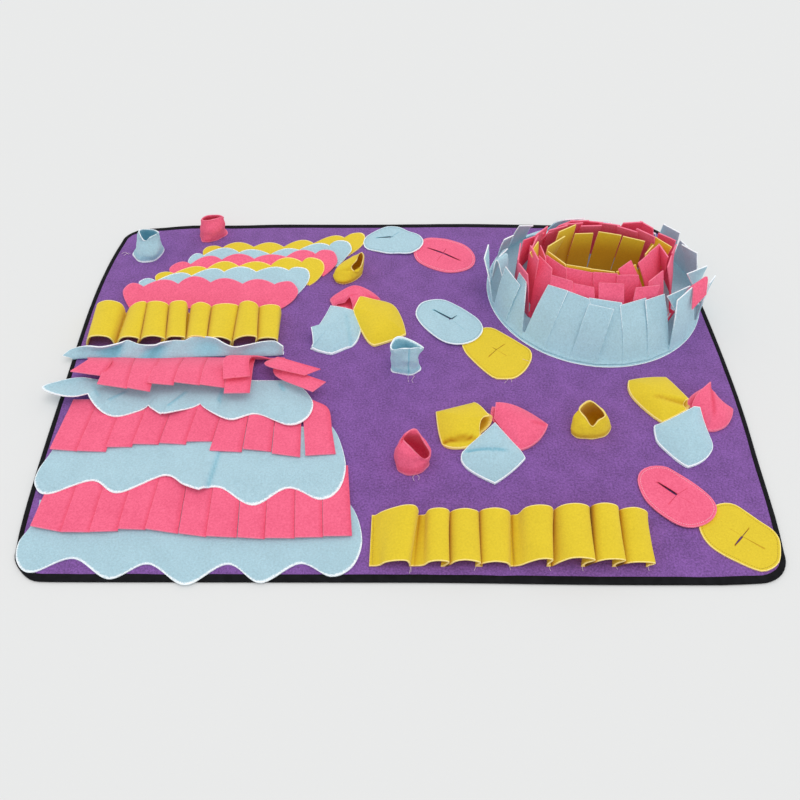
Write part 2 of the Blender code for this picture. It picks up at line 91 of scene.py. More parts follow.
class FeltSizes(bpy.types.PropertyGroup):
    felt: FloatProperty(name="Felt", description="Thickness of every piece sewn on the mat", default=0.0020,
                        unit="LENGTH", min=0.001, max=0.004)
    rounding: FloatProperty(name="Edge rounding", description="Radius worn on the cut edges", default=0.0005,
                            unit="LENGTH", min=0.0, max=0.001)
    ripple: FloatProperty(name="Ripple", description="Height of the felt's slight unevenness", default=0.0004,
                          unit="LENGTH", min=0.0, max=0.002)
    tape: FloatProperty(name="Tape width", description="Width of binding that shows on top", default=0.0108,
                        unit="LENGTH", min=0.005, max=0.02)


# ---------------------------------------------------------------- tools
def mix(a, b, t):
    return a + (b - a) * t


def ease(t):
    t = min(1.0, max(0.0, t))
    return t * t * (3 - 2 * t)


def wobble(k, seed=0.0):
    """A repeatable unevenness from -1 to 1."""
    return math.sin(2.399 * k + seed) * 0.6 + math.sin(5.13 * k + 1.7 * seed + 0.8) * 0.4


def curve_at(points, at, ring=False, bend=0.0):
    """Place at position at, counted in points, on a smooth curve through all the points; bend 1 rounds its ends
    as much as its middle."""
    last = len(points) if ring else len(points) - 1
    k = min(int(at), last - 1)
    f = at - k
    if ring:
        a, b, c, d = (points[(k + m) % len(points)] for m in (-1, 0, 1, 2))
    else:
        b, c = points[k], points[k + 1]
        a = points[k - 1] if k else 2 * b - c
        d = points[k + 2] if k + 2 <= last else 2 * c - b
        if bend and last > 1:
            a, d = (a if k else a + (b - 2 * c + d) * bend), (d if k + 2 <= last else d + (c - 2 * b + a) * bend)
    return b + 0.5 * f * (c - a + f * (2 * a - 5 * b + 4 * c - d + f * (3 * (b - c) + d - a)))


def rim_line(stretches, step=RIM_STEP):
    """Points every few millimetres along smooth stretches that meet at sharp notches."""
    line, corner = [], []
    for stretch in stretches:
        points = corner + [Vector(point if len(point) > 3 else (*point, 0.0)[:3]) for point in stretch]
        for k, (a, b) in enumerate(zip(points, points[1:])):
            parts = max(1, round((b - a).length / step))
            line.extend(curve_at(points, k + m / parts, bend=1.0) for m in range(parts))
        corner = points[-1:]
    return line + corner


def steps(count, near=0.0, far=0.0):
    """Shares from 0 to 1 in even steps, with one more close to each end where near or far is given."""
    shares = [k / count for k in range(count + 1)]
    if near:
        shares = [0.0, near] + [s for s in shares if s > near * BAND_FALL]
    if far:
        shares = [s for s in shares if s < 1 - far * BAND_FALL] + [1 - far, 1.0]
    return shares


def add_object(name, data):
    made = bpy.data.objects.new(name, data)
    bpy.context.scene.collection.objects.link(made)
    return made


def mesh_of(name, bm, material):
    mesh = bpy.data.meshes.new(name)
    bm.to_mesh(mesh)
    bm.free()
    mesh.materials.append(material)
    return mesh


def finish_piece(name, bm, slot, node=None):
    mesh = mesh_of(name, bm, FINISHES[slot])
    mesh.shade_smooth()
    piece = add_object(name, mesh)
    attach(piece, BODY)
    if node:
        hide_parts(node)
    return piece


def mark_cut_edges(bm):
    """1 at every cut edge and 0 elsewhere, read by the felts for the lighter fuzz of the cut; a place marked 1 or -1
    already keeps its edge or goes without."""
    layer = bm.verts.layers.float["cut_edge"]
    for vert in bm.verts:
        vert[layer] = max(0.0, vert[layer]) if vert[layer] else float(vert.is_boundary)


def thicken(piece, grow):
    sizes = bpy.context.scene.felt_sizes
    solid = piece.modifiers.new("felt", "SOLIDIFY")
    solid.thickness = sizes.felt
    solid.offset = grow
    bevel = piece.modifiers.new("worn edge", "BEVEL")
    bevel.width = sizes.rounding
    bevel.segments = 2
    bevel.limit_method = "ANGLE"
    bevel.angle_limit = math.radians(WORN_ANGLE)
    bevel.use_clamp_overlap = True


def ripple(bm, seed, strength):
    """Slight unevenness of a felt sheet, up and down only."""
    height = bpy.context.scene.felt_sizes.ripple * strength
    if height:
        for vert in bm.verts:
            vert.co.z += height * noise.noise(vert.co * RIPPLE_SCALE + Vector((seed, 0, 0)))


def felt_grid(node, slot, us, vs, place, cut=None, merged=False, grow=1.0, rippled=1.0, edged=None, depth=None):
    """One felt piece: a grid put in its place by place(i, j), cut where cut(i, j) says, then thickened; edged(i, j)
    is 1 where the fuzz of an edge shows without a cut, and -1 where a cut shows none, and depth(i, j) is how much
    painted shade the place gets in folds, pockets, creases and gaps. With grow 0 the grid is a closed skin that needs
    no thickness."""
    columns, rows = len(us) - 1, len(vs) - 1
    bm = bmesh.new()
    bmesh.ops.create_grid(bm, x_segments=columns, y_segments=rows, size=1.0)
    if cut:
        waste = []
        for face in bm.faces:
            middle = face.calc_center_median()
            if cut(int((middle.x + 1.0) / 2.0 * columns), int((middle.y + 1.0) / 2.0 * rows)):
                waste.append(face)
        bmesh.ops.delete(bm, geom=waste, context="FACES")
    bm.verts.layers.float.new("cut_edge")
    # "deep" carries the painted shade of folds, pockets, creases and gaps, read by the felts
    deep = bm.verts.layers.float.new("deep")
    edges = bm.verts.layers.float["cut_edge"]     # looked up last, since a new layer moves the others
    for vert in bm.verts:
        i = round((vert.co.x + 1.0) / 2.0 * columns)
        j = round((vert.co.y + 1.0) / 2.0 * rows)
        vert.co = place(i, j) * MM
        vert[edges] = edged(i, j) if edged else 0.0
        vert[deep] = depth(i, j) if depth else 0.0
    if merged:
        bmesh.ops.remove_doubles(bm, verts=bm.verts, dist=1e-6)
    mark_cut_edges(bm)
    ripple(bm, sum(map(ord, node)) % 97, rippled)
    piece = finish_piece(node + "_felt", bm, slot, node)
    if grow:
        thicken(piece, grow)
    return piece


# ---------------------------------------------------------------- materials
def feed(tree, node, inputs):
    """Gives inputs of a node their values, or the sockets that feed them."""
    for key, value in inputs.items():
        if isinstance(value, bpy.types.NodeSocket):
            tree.links.new(value, node.inputs[key])
        else:
            node.inputs[key].default_value = value


def add_node(tree, kind, inputs=None, **settings):
    made = tree.nodes.new(kind)
    for key, value in settings.items():
        setattr(made, key, value)
    feed(tree, made, inputs or {})
    return made


def set_tones(ramp, tones):
    """Gives both stops of a colour ramp their place and colour."""
    for stop, (position, colour) in zip(ramp.color_ramp.elements, tones):
        stop.position = position
        stop.color = colour


FINISHES = {}             # the material slots and the finish made for each


def blank_material(name):
    mat = bpy.data.materials.new(name)
    mat.use_nodes = True
    return mat, mat.node_tree, mat.node_tree.nodes["Principled BSDF"]


def shade_of(colour, factor, shift=(1, 1, 1)):
    return [min(1.0, max(0.0, c * factor * s)) for c, s in zip(colour, shift)] + [1.0]


TUFT = 2.8                # mm, clumps of fibre; the fibres themselves are too fine to show, so this stands for them
PATCH = 30.0              # mm, slow change of tone from uneven punching
FIBRE = 1.6               # mm, the fuzz that catches the light
TONE_SPREAD = 0.20        # to both sides of its middle, over how much of the noise the tone runs
PATCH_SHARE = 0.22        # how much of the tone comes from the patches
FUZZ_SPAN = (0.18, 0.42)  # where the fuzz of a cut starts and where it is full, in "cut_edge" times the tufts
FIBRE_BUMP = (0.6, 0.5)   # strength, and mm of height
TUFT_BUMP = (0.55, 0.8)
DAYLIGHT_REACH = 4.0      # mm that daylight spreads in the pale felt
FELT_ROUGHNESS, TAPE_ROUGHNESS, THREAD_ROUGHNESS = 0.96, 0.82, 0.7
DULL_SHINE = 0.15         # specular level of felt and tape, whose fibres scatter nearly all the light
BLOOM = (0.12, 0.6)       # weight and roughness of the sheen
GAP_SHADE = (0.05, 0.03, 0.035)      # what is left of the colour in a slit or a gap, where "deep" is 2


def felt_material(slot, colour, dark, light, edge, edge_strength, contrast, depth=(1, 1, 1), through=0.0,
                  painted_glow=(0, 0, 0)):
    """Needle-punched polyester felt: dead matt, short fibres lying every way, so the tone is mottled and the
    surface has a soft bloom at a low angle; the cut edge is looser and paler. Where "deep" is 1, in folds and
    pockets, depth is what is left of the colour: painted shade, which goes on darkening towards GAP_SHADE where
    "deep" is 2, in slits and gaps. The pale felt is thin enough to let daylight through. An even emission all over
    a felt is painted light, standing for light that comes through it, so that its shaded side keeps its colour."""
    FINISHES[slot], tree, shader = blank_material("needled_" + slot)
    place = add_node(tree, "ShaderNodeTexCoord").outputs["Object"]
    tufts, patches, fibres = (
        add_node(tree, "ShaderNodeTexNoise", {"Vector": place, "Scale": 1 / (size * MM), "Detail": 2.0,
                                              "Roughness": roughness}).outputs["Fac"]
        for size, roughness in ((TUFT, 0.75), (PATCH, 0.5), (FIBRE, 0.6)))
    blend = add_node(tree, "ShaderNodeMix", {"Factor": PATCH_SHARE, "A": tufts, "B": patches}, data_type="FLOAT")
    tone = add_node(tree, "ShaderNodeValToRGB", {"Fac": blend.outputs["Result"]})
    spread = TONE_SPREAD / contrast
    set_tones(tone, ((0.5 - spread, shade_of(colour, *dark)), (0.5 + spread, shade_of(colour, *light))))
    border = add_node(tree, "ShaderNodeAttribute", attribute_name="cut_edge").outputs["Fac"]
    frayed = add_node(tree, "ShaderNodeMath", {0: border, 1: tufts}, operation="MULTIPLY")
    fuzz = add_node(tree, "ShaderNodeMapRange", {"Value": frayed.outputs[0], "From Min": FUZZ_SPAN[0],
                                                 "From Max": FUZZ_SPAN[1], "To Max": edge_strength})
    # painted shade: "deep" darkens the colour towards depth in folds, pockets and creases, and on towards GAP_SHADE
    # in slits and gaps
    inside = add_node(tree, "ShaderNodeAttribute", attribute_name="deep").outputs["Fac"]
    beyond = add_node(tree, "ShaderNodeMath", {0: inside, 1: 1.0}, operation="SUBTRACT", use_clamp=True)
    look = tone.outputs["Color"]
    for share, added, blending in ((fuzz.outputs["Result"], edge, "MIX"), (inside, depth, "MULTIPLY"),
                                   (beyond.outputs[0], GAP_SHADE, "MULTIPLY")):
        look = add_node(tree, "ShaderNodeMix", {"Factor": share, 6: look, 7: (*added, 1.0)}, data_type="RGBA",
                        blend_type=blending).outputs[2]
    fine = add_node(tree, "ShaderNodeBump", {"Height": fibres, "Strength": FIBRE_BUMP[0],
                                             "Distance": FIBRE_BUMP[1] * MM})
    nap = add_node(tree, "ShaderNodeBump", {"Height": tufts, "Strength": TUFT_BUMP[0],
                                            "Distance": TUFT_BUMP[1] * MM, "Normal": fine.outputs["Normal"]})
    feed(tree, shader, {
        "Base Color": look, "Normal": nap.outputs["Normal"], "Roughness": FELT_ROUGHNESS,
        "Specular IOR Level": DULL_SHINE, "Sheen Weight": BLOOM[0], "Sheen Roughness": BLOOM[1],
        "Subsurface Weight": through, "Subsurface Scale": DAYLIGHT_REACH * MM, "Subsurface Radius": (1.0, 1.0, 1.0)})
    # painted light: an even emission all over the felt, so that its shaded side keeps its colour
    if any(painted_glow):
        feed(tree, shader, {"Emission Color": (*painted_glow, 1.0), "Emission Strength": 1.0})


GRIME = 9.0               # mm, patches of wear on the tape
GRIME_SPAN = (0.35, 0.70)             # over how much of the noise the tone runs
GRIME_SHADES = (0.75, 1.5)
RIB = 1.6                 # mm, the weave's ribs, drawn about three times as wide as they are, to show
RIB_BUMP = (0.5, 0.3)


def binding_material(colour):
    """Woven polyester tape: ribbed across, a little smoother than felt, so folds show a dull light."""
    FINISHES["binding_tape"], tree, shader = blank_material("woven_binding_tape")
    place = add_node(tree, "ShaderNodeTexCoord").outputs["Object"]
    grime = add_node(tree, "ShaderNodeTexNoise", {"Vector": place, "Scale": 1 / (GRIME * MM), "Detail": 3.0})
    tone = add_node(tree, "ShaderNodeValToRGB", {"Fac": grime.outputs["Fac"]})
    set_tones(tone, zip(GRIME_SPAN, (shade_of(colour, factor) for factor in GRIME_SHADES)))
    ribs = add_node(tree, "ShaderNodeTexNoise", {"Vector": place, "Scale": 1 / (RIB * MM), "Detail": 2.0})
    bump = add_node(tree, "ShaderNodeBump", {"Height": ribs.outputs["Fac"], "Strength": RIB_BUMP[0],
                                             "Distance": RIB_BUMP[1] * MM})
    feed(tree, shader, {"Base Color": tone.outputs["Color"], "Normal": bump.outputs["Normal"],
                        "Roughness": TAPE_ROUGHNESS, "Specular IOR Level": DULL_SHINE})


def thread_material(name, colour):
    """Spun polyester sewing thread: matt, a little brighter than the felt it lies on."""
    mat, tree, shader = blank_material(name)
    feed(tree, shader, {"Base Color": (*colour, 1.0), "Roughness": THREAD_ROUGHNESS})
    return mat


def make_felts():
    colours = bpy.context.scene.felt_colours
    white = linear("#FBFBFD")
    felt_material("purple_felt", colours.purple, (0.66,), (1.38,), linear("#9A78B4"), 0.5, 1.4)
    # depth is what each felt keeps of its colour in painted shade; the even emission of the pink, blue and yellow
    # felts is painted light, and their colours are set a little lower to leave room for it
    felt_material("pink_felt", colours.pink, (0.86, (0.95, 0.75, 0.83)), (1.08, (0.95, 1.06, 1.02)),
                  linear("#FF9DB4"), 0.40, 1.1, depth=(0.84, 0.42, 0.50), painted_glow=(0.070, 0.006, 0.014))
    felt_material("blue_felt", colours.blue, (0.84,), (1.10,), white, 1.0, 1.1, depth=(0.50, 0.78, 0.86), through=0.4,
                  painted_glow=(0.035, 0.085, 0.105))
    felt_material("yellow_felt", colours.yellow, (0.86, (0.92, 0.96, 0.90)), (1.06, (0.92, 0.96, 0.90)),
                  linear("#FCE990"), 1.0, 0.9, depth=(0.64, 0.42, 0.12), painted_glow=(0.085, 0.030, 0.0))
    binding_material(colours.charcoal)


# ---------------------------------------------------------------- mat and binding
CORNER_RADIUS = 0.044
CORNER_STEPS, SIDE_STEPS, EDGE_STEPS = 10, 24, 36
LEFT_BOW = 0.016
RIGHT_BOW = 0.019
RIGHT_LEAN = 0.006        # the right side runs out towards the front
SIDE_TAPE = 0.68          # how much of the tape's width shows along the two sides
# the edge as the felt lies: how far each part drifts from the even outline, and where, in metres
LEFT_SWAY = (0.0036, 0.04, 0.72)       # far, where it crosses over, and the length of the wave
RIGHT_DENT = (0.005, -0.19, 0.10)      # far, middle, reach
REAR_SWELL = (0.0045, 0.14, 0.16)
REAR_SLOPES = ((0.004, 0.20, 0.12), (0.011, 0.37, 0.10))     # far, how far left it starts, reach
FRONT_SWELL = (0.003, 0.0, 0.30, 0.40, 0.08)     # far, then where it starts and its reach, and where it stops
CORNER_CUT = (0.0045, 0.03)            # far, reach, at the front left corner
UNDER_TAPE = 0.0015       # how far the base runs in under the tape that shows
BASE_EDGE = 0.0012        # the base's own edge, from the outer edge of the tape
BASE_ROUND = 0.0011
TOP_SHARES = (0.02, 0.15, 0.35, 0.55, 0.75, 0.9, 0.97, 1.0)
UNDER_SHARES = (1.0, 0.97, 0.5, 0.02)
TAPE_TOP = 0.002          # above this the tape puckers
PUCKER = (0.00035, 60)    # height of the tape's puckers, and how many there are in a metre
STRAY = (0.0009, 22)      # how far the tape's inner edge strays, likewise


def mat_outline(inset):
    """Points round the mat, counter-clockwise from the front right, inset from its outer edge, in metres."""
    half_x, half_y, radius = MAT_WIDTH / 2, MAT_DEPTH / 2, CORNER_RADIUS
    points = []
    for sx, sy, start in ((1, -1, -90), (1, 1, 0), (-1, 1, 90), (-1, -1, 180)):
        cx, cy = sx * (half_x - radius), sy * (half_y - radius)
        shown = inset * SIDE_TAPE
        for k in range(CORNER_STEPS + 1):
            turn = math.radians(start + 90 * k / CORNER_STEPS)
            points.append((cx + (radius - shown) * math.cos(turn), cy + (radius - inset) * math.sin(turn)))
        if sy * sx < 0:
            for k in range(1, SIDE_STEPS):
                points.append((sx * (half_x - shown), sx * mix(-1, 1, k / SIDE_STEPS) * (half_y - radius)))
        else:
            for k in range(1, EDGE_STEPS):
                points.append((sx * mix(1, -1, k / EDGE_STEPS) * (half_x - radius), sy * (half_y - inset)))
    reach = half_y - radius
    bowed = []
    for x, y in points:
        bow = RIGHT_BOW if x > 0 else -LEFT_BOW
        lean = -RIGHT_LEAN * max(0.0, x / half_x) * y / half_y
        side, end = edge_drift(x, y)
        bowed.append((x + bow * (1 - min(1.0, abs(y) / reach) ** 3) + lean + side, y + end))
    return bowed


def edge_drift(x, y):
    """How far a place on the mat's edge lies from the even outline, across and along, in metres."""
    across, along = (2 * x / MAT_WIDTH) ** 2, (2 * y / MAT_DEPTH) ** 4
    if x < 0:
        far, centre, length = LEFT_SWAY
        side = -far * math.sin(2 * math.pi * (y - centre) / length)
    else:
        far, centre, reach = RIGHT_DENT
        side = -far * math.exp(-((y - centre) / reach) ** 2)
    if y > 0:
        far, centre, reach = REAR_SWELL
        end = far * math.exp(-((x - centre) / reach) ** 2)
        end -= sum(far * ease((-x - start) / reach) for far, start, reach in REAR_SLOPES)
    else:
        far, start, rise, stop, fall = FRONT_SWELL
        end = -far * ease((x - start) / rise) * (1 - ease((x - stop) / fall))
    far, reach = CORNER_CUT
    cut = far * math.exp(-(math.hypot(x + MAT_WIDTH / 2, y + MAT_DEPTH / 2) / reach) ** 2)
    return side * across + cut, end * along + cut


def closed_strip(name, node, slot, rings, caps):
    """A skin through rings of points; caps closes the first and last ring, else they are joined."""
    bm = bmesh.new()
    count, rows = len(rings[0]), len(rings)
    tall = rows - 1 if caps else rows
    bmesh.ops.create_grid(bm, x_segments=count, y_segments=tall, size=1.0)
    for vert in bm.verts:
        i = round((vert.co.x + 1.0) / 2.0 * count) % count
        j = round((vert.co.y + 1.0) / 2.0 * tall) % rows
        vert.co = rings[j][i]
    bmesh.ops.remove_doubles(bm, verts=bm.verts, dist=1e-7)
    if caps:
        bmesh.ops.holes_fill(bm, edges=[e for e in bm.edges if e.is_boundary], sides=0)
    bmesh.ops.recalc_face_normals(bm, faces=bm.faces)
    return finish_piece(name, bm, slot, node)


def make_base():
    outline = mat_outline(bpy.context.scene.felt_sizes.tape - UNDER_TAPE)
    edge = mat_outline(BASE_EDGE)
    levels = [(outline, share, MAT_THICK) for share in TOP_SHARES]
    levels += [(edge, 1.0, MAT_THICK - BASE_ROUND), (edge, 1.0, BASE_ROUND)]
    levels += [(outline, share, 0.0) for share in UNDER_SHARES]
    rings = [[Vector((x * share, y * share, z)) for x, y in line] for line, share, z in levels]
    base = closed_strip("mat_base_felt", "mat_base", "purple_felt", rings, True)


def make_binding():
    tape = bpy.context.scene.felt_sizes.tape
    # round the tape's section, as (inset, height): over the top, back along its inside and out below
    section = ((0.0, 0.0015), (0.0004, 0.0025), (0.0020, 0.0033), (0.0060, 0.00345), (tape - 0.001, 0.0034),
               (tape, 0.0031), (tape, MAT_THICK - 0.0004), (0.0060, MAT_THICK - 0.0004), (0.0012, 0.0016),
               (0.0060, 0.0004), (tape, 0.0004), (tape, 0.0), (0.0060, 0.0), (0.0010, 0.0))
    rings = []
    outer = mat_outline(0.0)
    for inset, z in section:
        ring = []
        for (x, y), (ox, oy) in zip(mat_outline(inset), outer):
            lift = PUCKER[0] * noise.noise(Vector((ox, oy, 0.3)) * PUCKER[1]) * (z > TAPE_TOP)
            slide = STRAY[0] * noise.noise(Vector((ox, oy, 2.1)) * STRAY[1]) * min(1.0, inset / tape)
            away = Vector((x - ox, y - oy, 0))
            if away.length > 1e-6:
                away.normalize()
            ring.append(Vector((x, y, z + lift)) + away * slide)
        rings.append(ring)
    binding = closed_strip("edge_binding_tape", "edge_binding", "binding_tape", rings, False)


# ---------------------------------------------------------------- strips with a cut outline
Strip = namedtuple("Strip", "name finish slope flat rim creases", defaults=((),))
Crease = namedtuple("Crease", "x y end_x end_y height left right shade", defaults=(0.0,))
CREASE_SHADE = 5.0        # mm to both sides of a crease over which its shade dies away
STRIP_ROWS = 20
STRIP_HEM = 0.9           # where a strip is hardly longer than its band, its first row stays within this share
# rim goes from one end of the seam to the other, from left to right, as smooth stretches that meet at notches;
# a point is (x, y) or (x, y, height above the slope)
FLAPS = (
    Strip("flap_4", "blue_felt", 0.0, (0.455, 0.128), (
        ((-489, -248), (-488, -284), (-498, -315), (-491, -344), (-468, -358), (-421, -338), (-369, -367),
         (-323, -346), (-271, -375), (-221, -346), (-176, -372), (-128, -345), (-88, -363), (-61, -350),
         (-49, -315), (-56, -275), (-72, -248)),)),
    Strip("flap_3", "blue_felt", 0.039, (0.448, 0.145), (
        ((-494, -118), (-492, -152), (-504, -201), (-500, -228), (-478, -241), (-425, -218), (-385, -239),
         (-328, -210), (-295, -229), (-272, -240)),
        ((-246, -230), (-198, -259), (-153, -230), (-109, -249), (-84, -234), (-75, -195), (-84, -150),
         (-98, -118))),
        (Crease(-260, -145, -272, -240, 10.0, 70, 8), Crease(-254, -140, -264, -236, 0.5, 12, 16, 0.8))),
    Strip("flap_2", "blue_felt", 0.058, (0.40, 0.072), (
        ((-470, -26, 4), (-497, -34, 14), (-533, -60, 20), (-500, -75, 16), (-466, -66, 9)),
        ((-445, -91, 2), (-418, -103), (-386, -91), (-375, -80, 1)),
        ((-364, -92, 4), (-345, -101, 3), (-312, -86), (-298, -76)),
        ((-276, -97, 3), (-246, -111, 3), (-211, -97), (-162, -121, 3), (-136, -107, 2), (-129, -75),
         (-146, -44), (-172, -26))),
        (Crease(-410, -49, -433, -73, 5.0, 4, 24, 0.8), Crease(-320, -48, -342, -86, 6.0, 4, 28, 0.9),
         Crease(-269, -42, -270, -74, 5.0, 24, 4, 0.8), Crease(-184, -31, -176, -46, 3.0, 3, 12, 0.9),
         Crease(-470, -36, -452, -66, 5.0, 30, 6, 0.5))),
)


def along_crease(crease, x, y):
    """How far along the crease the place is, from 0 to 1, and its distance to the left (minus) or right."""
    start, along = Vector((crease.x, crease.y)), Vector((crease.end_x - crease.x, crease.end_y - crease.y))
    off = Vector((x, y)) - start
    down = min(1.0, max(0.0, off.dot(along) / along.length_squared))
    off -= along * down
    return down, math.copysign(off.length, along.cross(off))


def ridge(crease, x, y):
    """Height of a fold that grows from its start to its end and dies away to both sides."""
    down, off = along_crease(crease, x, y)
    return crease.height * down * max(0.0, 1 - abs(off) / (crease.right if off > 0 else crease.left))


def crease_shade(creases, point):
    """How much painted shade the creases of a piece give the place."""
    shade = 0.0
    for crease in creases:
        down, off = along_crease(crease, point.x, point.y)
        shade = max(shade, crease.shade * ease(4 * down) * ease(1 - abs(off) / CREASE_SHADE))
    return shade


def lay_strip(strip):
    """A flat strip between its straight seam and its cut rim, rising at an even slope from the seam."""
    rim = rim_line(strip.rim)
    walked = [0.0]
    for a, b in zip(rim, rim[1:]):
        walked.append(walked[-1] + (b - a).length)
    first, last = rim[0], rim[-1]
    along = (last - first).normalized()
    seam = [first.lerp(last, far / walked[-1]) for far in walked]
    vs = steps(STRIP_ROWS)

    def place(i, j):
        foot, far = seam[i], rim[i]
        band = EDGE / max(EDGE, (far - foot).length)
        share = min(vs[j], 1 - band) if vs[j] < 1 else 1.0
        if j == 1:
            share = max(share, min(STRIP_HEM, band))
        point = foot.lerp(far, share)
        away = (point - first).cross(along)
        lift = mix(foot.z, far.z, share) * share
        return Vector((point.x, point.y, LAID / MM + strip.slope * abs(away.z) + lift +
                       sum(ridge(crease, point.x, point.y) for crease in strip.creases)))

    def depth(i, j):
        return crease_shade(strip.creases, place(i, j))

    behind = (rim[len(rim) // 2] - first).y > 0
    piece = felt_grid(strip.name, strip.finish, walked, vs, place, merged=True, grow=1.0 if behind else -1.0,
                      depth=depth)


# the ruffle from left to right: its foot as (x, y), its free edge as (x, y, height), and how far it is pushed in
# between the two, where the folds are
FLAP_1 = (
    (-512, 18, -527, 16, 14, 0), (-502, 20, -514, 30, 16, 0), (-482, 21, -488, 29, 25, 2),
    (-465, 21, -464, 27, 25, 6), (-447, 21, -439, 36, 25, 8), (-434, 21, -427, 41, 25, 1),
    (-416, 19, -406, 32, 25, 0), (-401, 17, -383, 30, 27, 6), (-387, 17, -372, 33, 29, 8),
    (-366, 19, -355, 41, 25, 1), (-346, 22, -338, 41, 25, 0), (-331, 24, -329, 48, 25, 1),
    (-313, 25, -310, 50, 25, 4), (-292, 26, -290, 46, 26, 4), (-270, 27, -272, 34, 25, 0),
    (-255, 27, -257, 28, 25, 0), (-240, 27, -240, 32, 25, 2), (-218, 27, -218, 39, 25, 2),
    (-197, 28, -196, 41, 25, 1), (-183, 30, -181, 30, 24, 0))
FLAP_1_STEPS, FLAP_1_ROWS = 4, 12
FLAP_1_HEM = 9            # mm that lie flat behind the foot
FLAP_1_FOOT = 6.5         # height of the foot, where the felt turns up
FLAP_1_FOLD = (1.4, -0.4)             # how far the middle of a fold goes back and down for each mm pushed in
FLAP_1_SHADE = 1.15 / 8               # for each mm pushed in
FLAP_1_BANDS = (0.004, 0.04)          # the shares of its length and height that show the fuzz of the cut


def make_flap_1():
    """The rearmost flap, sewn down at its foot and ruffled up against the loops behind it."""
    last = len(FLAP_1) - 1
    lines = [[], [], [], []]
    for x, y, top_x, top_y, top_z, fold in FLAP_1:
        foot, top = Vector((x, y, FLAP_1_FOOT)), Vector((top_x, top_y, top_z))
        lines[0].append(Vector((x, y + FLAP_1_HEM, LAID / MM)))
        lines[1].append(foot)
        lines[2].append(foot.lerp(top, 0.5) + Vector((0, *FLAP_1_FOLD)) * fold)
        lines[3].append(top)
    side_band, top_band = FLAP_1_BANDS
    us, vs = steps(FLAP_1_STEPS * last, side_band, side_band), steps(FLAP_1_ROWS, far=top_band)

    def place(i, j):
        return curve_at([curve_at(line, us[i] * last) for line in lines], vs[j] * 3)

    def depth(i, j):
        pushed = curve_at([row[-1] for row in FLAP_1], us[i] * last)
        return FLAP_1_SHADE * max(0.0, pushed) * math.sin(math.pi * vs[j])

    piece = felt_grid("flap_1", "blue_felt", us, vs, place, depth=depth)


TONGUE_SIZE = (38, 100)   # mm, about the width and length of a tongue
TONGUE_COLUMNS = 5
JOINED_RUNGS = 2          # of each tongue, counted from the seam, those that it shares with its neighbours
LAP_SHADE = (0.55, 0.14)  # how deep the shade is where the next tongue laps over, and on what share of the width


def comb(node, slot, tongues, along, ring=False, grow=1.0):
    """Tongues joined at their head. Each tongue is a list of rungs, (left, right), from its end to the seam, and
    along is the number of rows from rung to rung."""
    band_x, band_y = (EDGE / size for size in TONGUE_SIZE)
    shares = steps(TONGUE_COLUMNS, band_x, band_x)
    width = len(shares)
    rungs = len(tongues[0]) - 1
    vs = steps(along * rungs, band_y)
    free_share = (rungs - JOINED_RUNGS + 1) / rungs
    us = range(len(tongues) * width + (1 if ring else 0))

    def place(i, j):
        k, c = divmod(i, width)
        tongue = tongues[k % len(tongues)]
        at = vs[j] * rungs
        left = curve_at([rung[0] for rung in tongue], at)
        right = curve_at([rung[1] for rung in tongue], at)
        return left.lerp(right, shares[c])

    def cut(i, j):
        return i % width == width - 1 and (vs[j] + vs[j + 1]) / 2 < free_share

    def edged(i, j):
        return -1.0 if ring and j == len(vs) - 1 else 0.0

    def depth(i, j):
        shade, lap = LAP_SHADE
        return 0.0 if ring else shade * ease((shares[i % width] - 1 + lap) / lap)

    return felt_grid(node, slot, us, vs, place, cut=cut, merged=ring, grow=grow, edged=edged, depth=depth)


Fringe = namedtuple("Fringe", "name seam_left seam_right seam_y slope flat clip ends")
# ends are the two corners, (left x, left y, right x, right y), at the free end of each tongue; clip is how many mm
# the seam stops short at its right end
FRINGES = (
    Fringe("fringe_3", -482, -72, -188, 0.043, (0.42, 0.12), 0, (
        (-487, -293, -443, -301), (-444, -302, -407, -301), (-407, -302, -371, -299), (-371, -297, -335, -297),
        (-335, -297, -291, -303), (-290, -304, -253, -308), (-253, -308, -213, -309), (-212, -310, -176, -311),
        (-176, -311, -137, -310), (-137, -310, -100, -308), (-100, -308, -62, -306))),
    Fringe("fringe_2", -491, -108, -66, 0.046, (0.40, 0.105), 21, (
        (-497, -165, -458, -167), (-458, -168, -417, -168), (-418, -161, -382, -159), (-382, -155, -345, -154),
        (-344, -153, -306, -154), (-306, -150, -269, -148), (-270, -167, -224, -168), (-223, -164, -182, -167),
        (-181, -172, -140, -177), (-133, -176, -90, -171))),
)
FRINGE_HEAD = 18
FRINGE_SLIT = 0.5
FRINGE_LIFT = 2.6         # each tongue lies on its left neighbour


def make_fringe(row):
    count = len(row.ends)
    tongues = []
    for k, end in enumerate(row.ends):
        clip = row.clip if k == count - 1 else 0.0
        sides = [(side, mix(row.seam_left, row.seam_right, (k + side) / count), FRINGE_SLIT * (0.5 - side))
                 for side in (0, 1)]
        rungs = []
        for share in (1.0, 0.5, 0.0):
            rung = []
            for side, at_seam, gap in sides:
                end_x, end_y = end[2 * side:2 * side + 2]
                y = mix(row.seam_y - FRINGE_HEAD, end_y, share)
                x = mix(at_seam, end_x, (row.seam_y - y) / (row.seam_y - end_y))
                rise = row.slope * (row.seam_y - y) + FRINGE_LIFT * share * (1 - side)
                rung.append(Vector((x + gap, y, LAID / MM + rise)))
            rungs.append(rung)
        rungs.append([Vector((at_seam - clip * side + gap, row.seam_y, LAID / MM)) for side, at_seam, gap in sides])
        tongues.append(rungs)
    piece = comb(row.name, "pink_felt", tongues, along=5)


RUFFLED_SEAM = 21.5
RUFFLED_HEAD = (4, 3)     # mm in front of the seam and over it, where the tongues part
RUFFLED_BEND = (-14, 21)  # y and height of the bend of a tongue that isn't folded
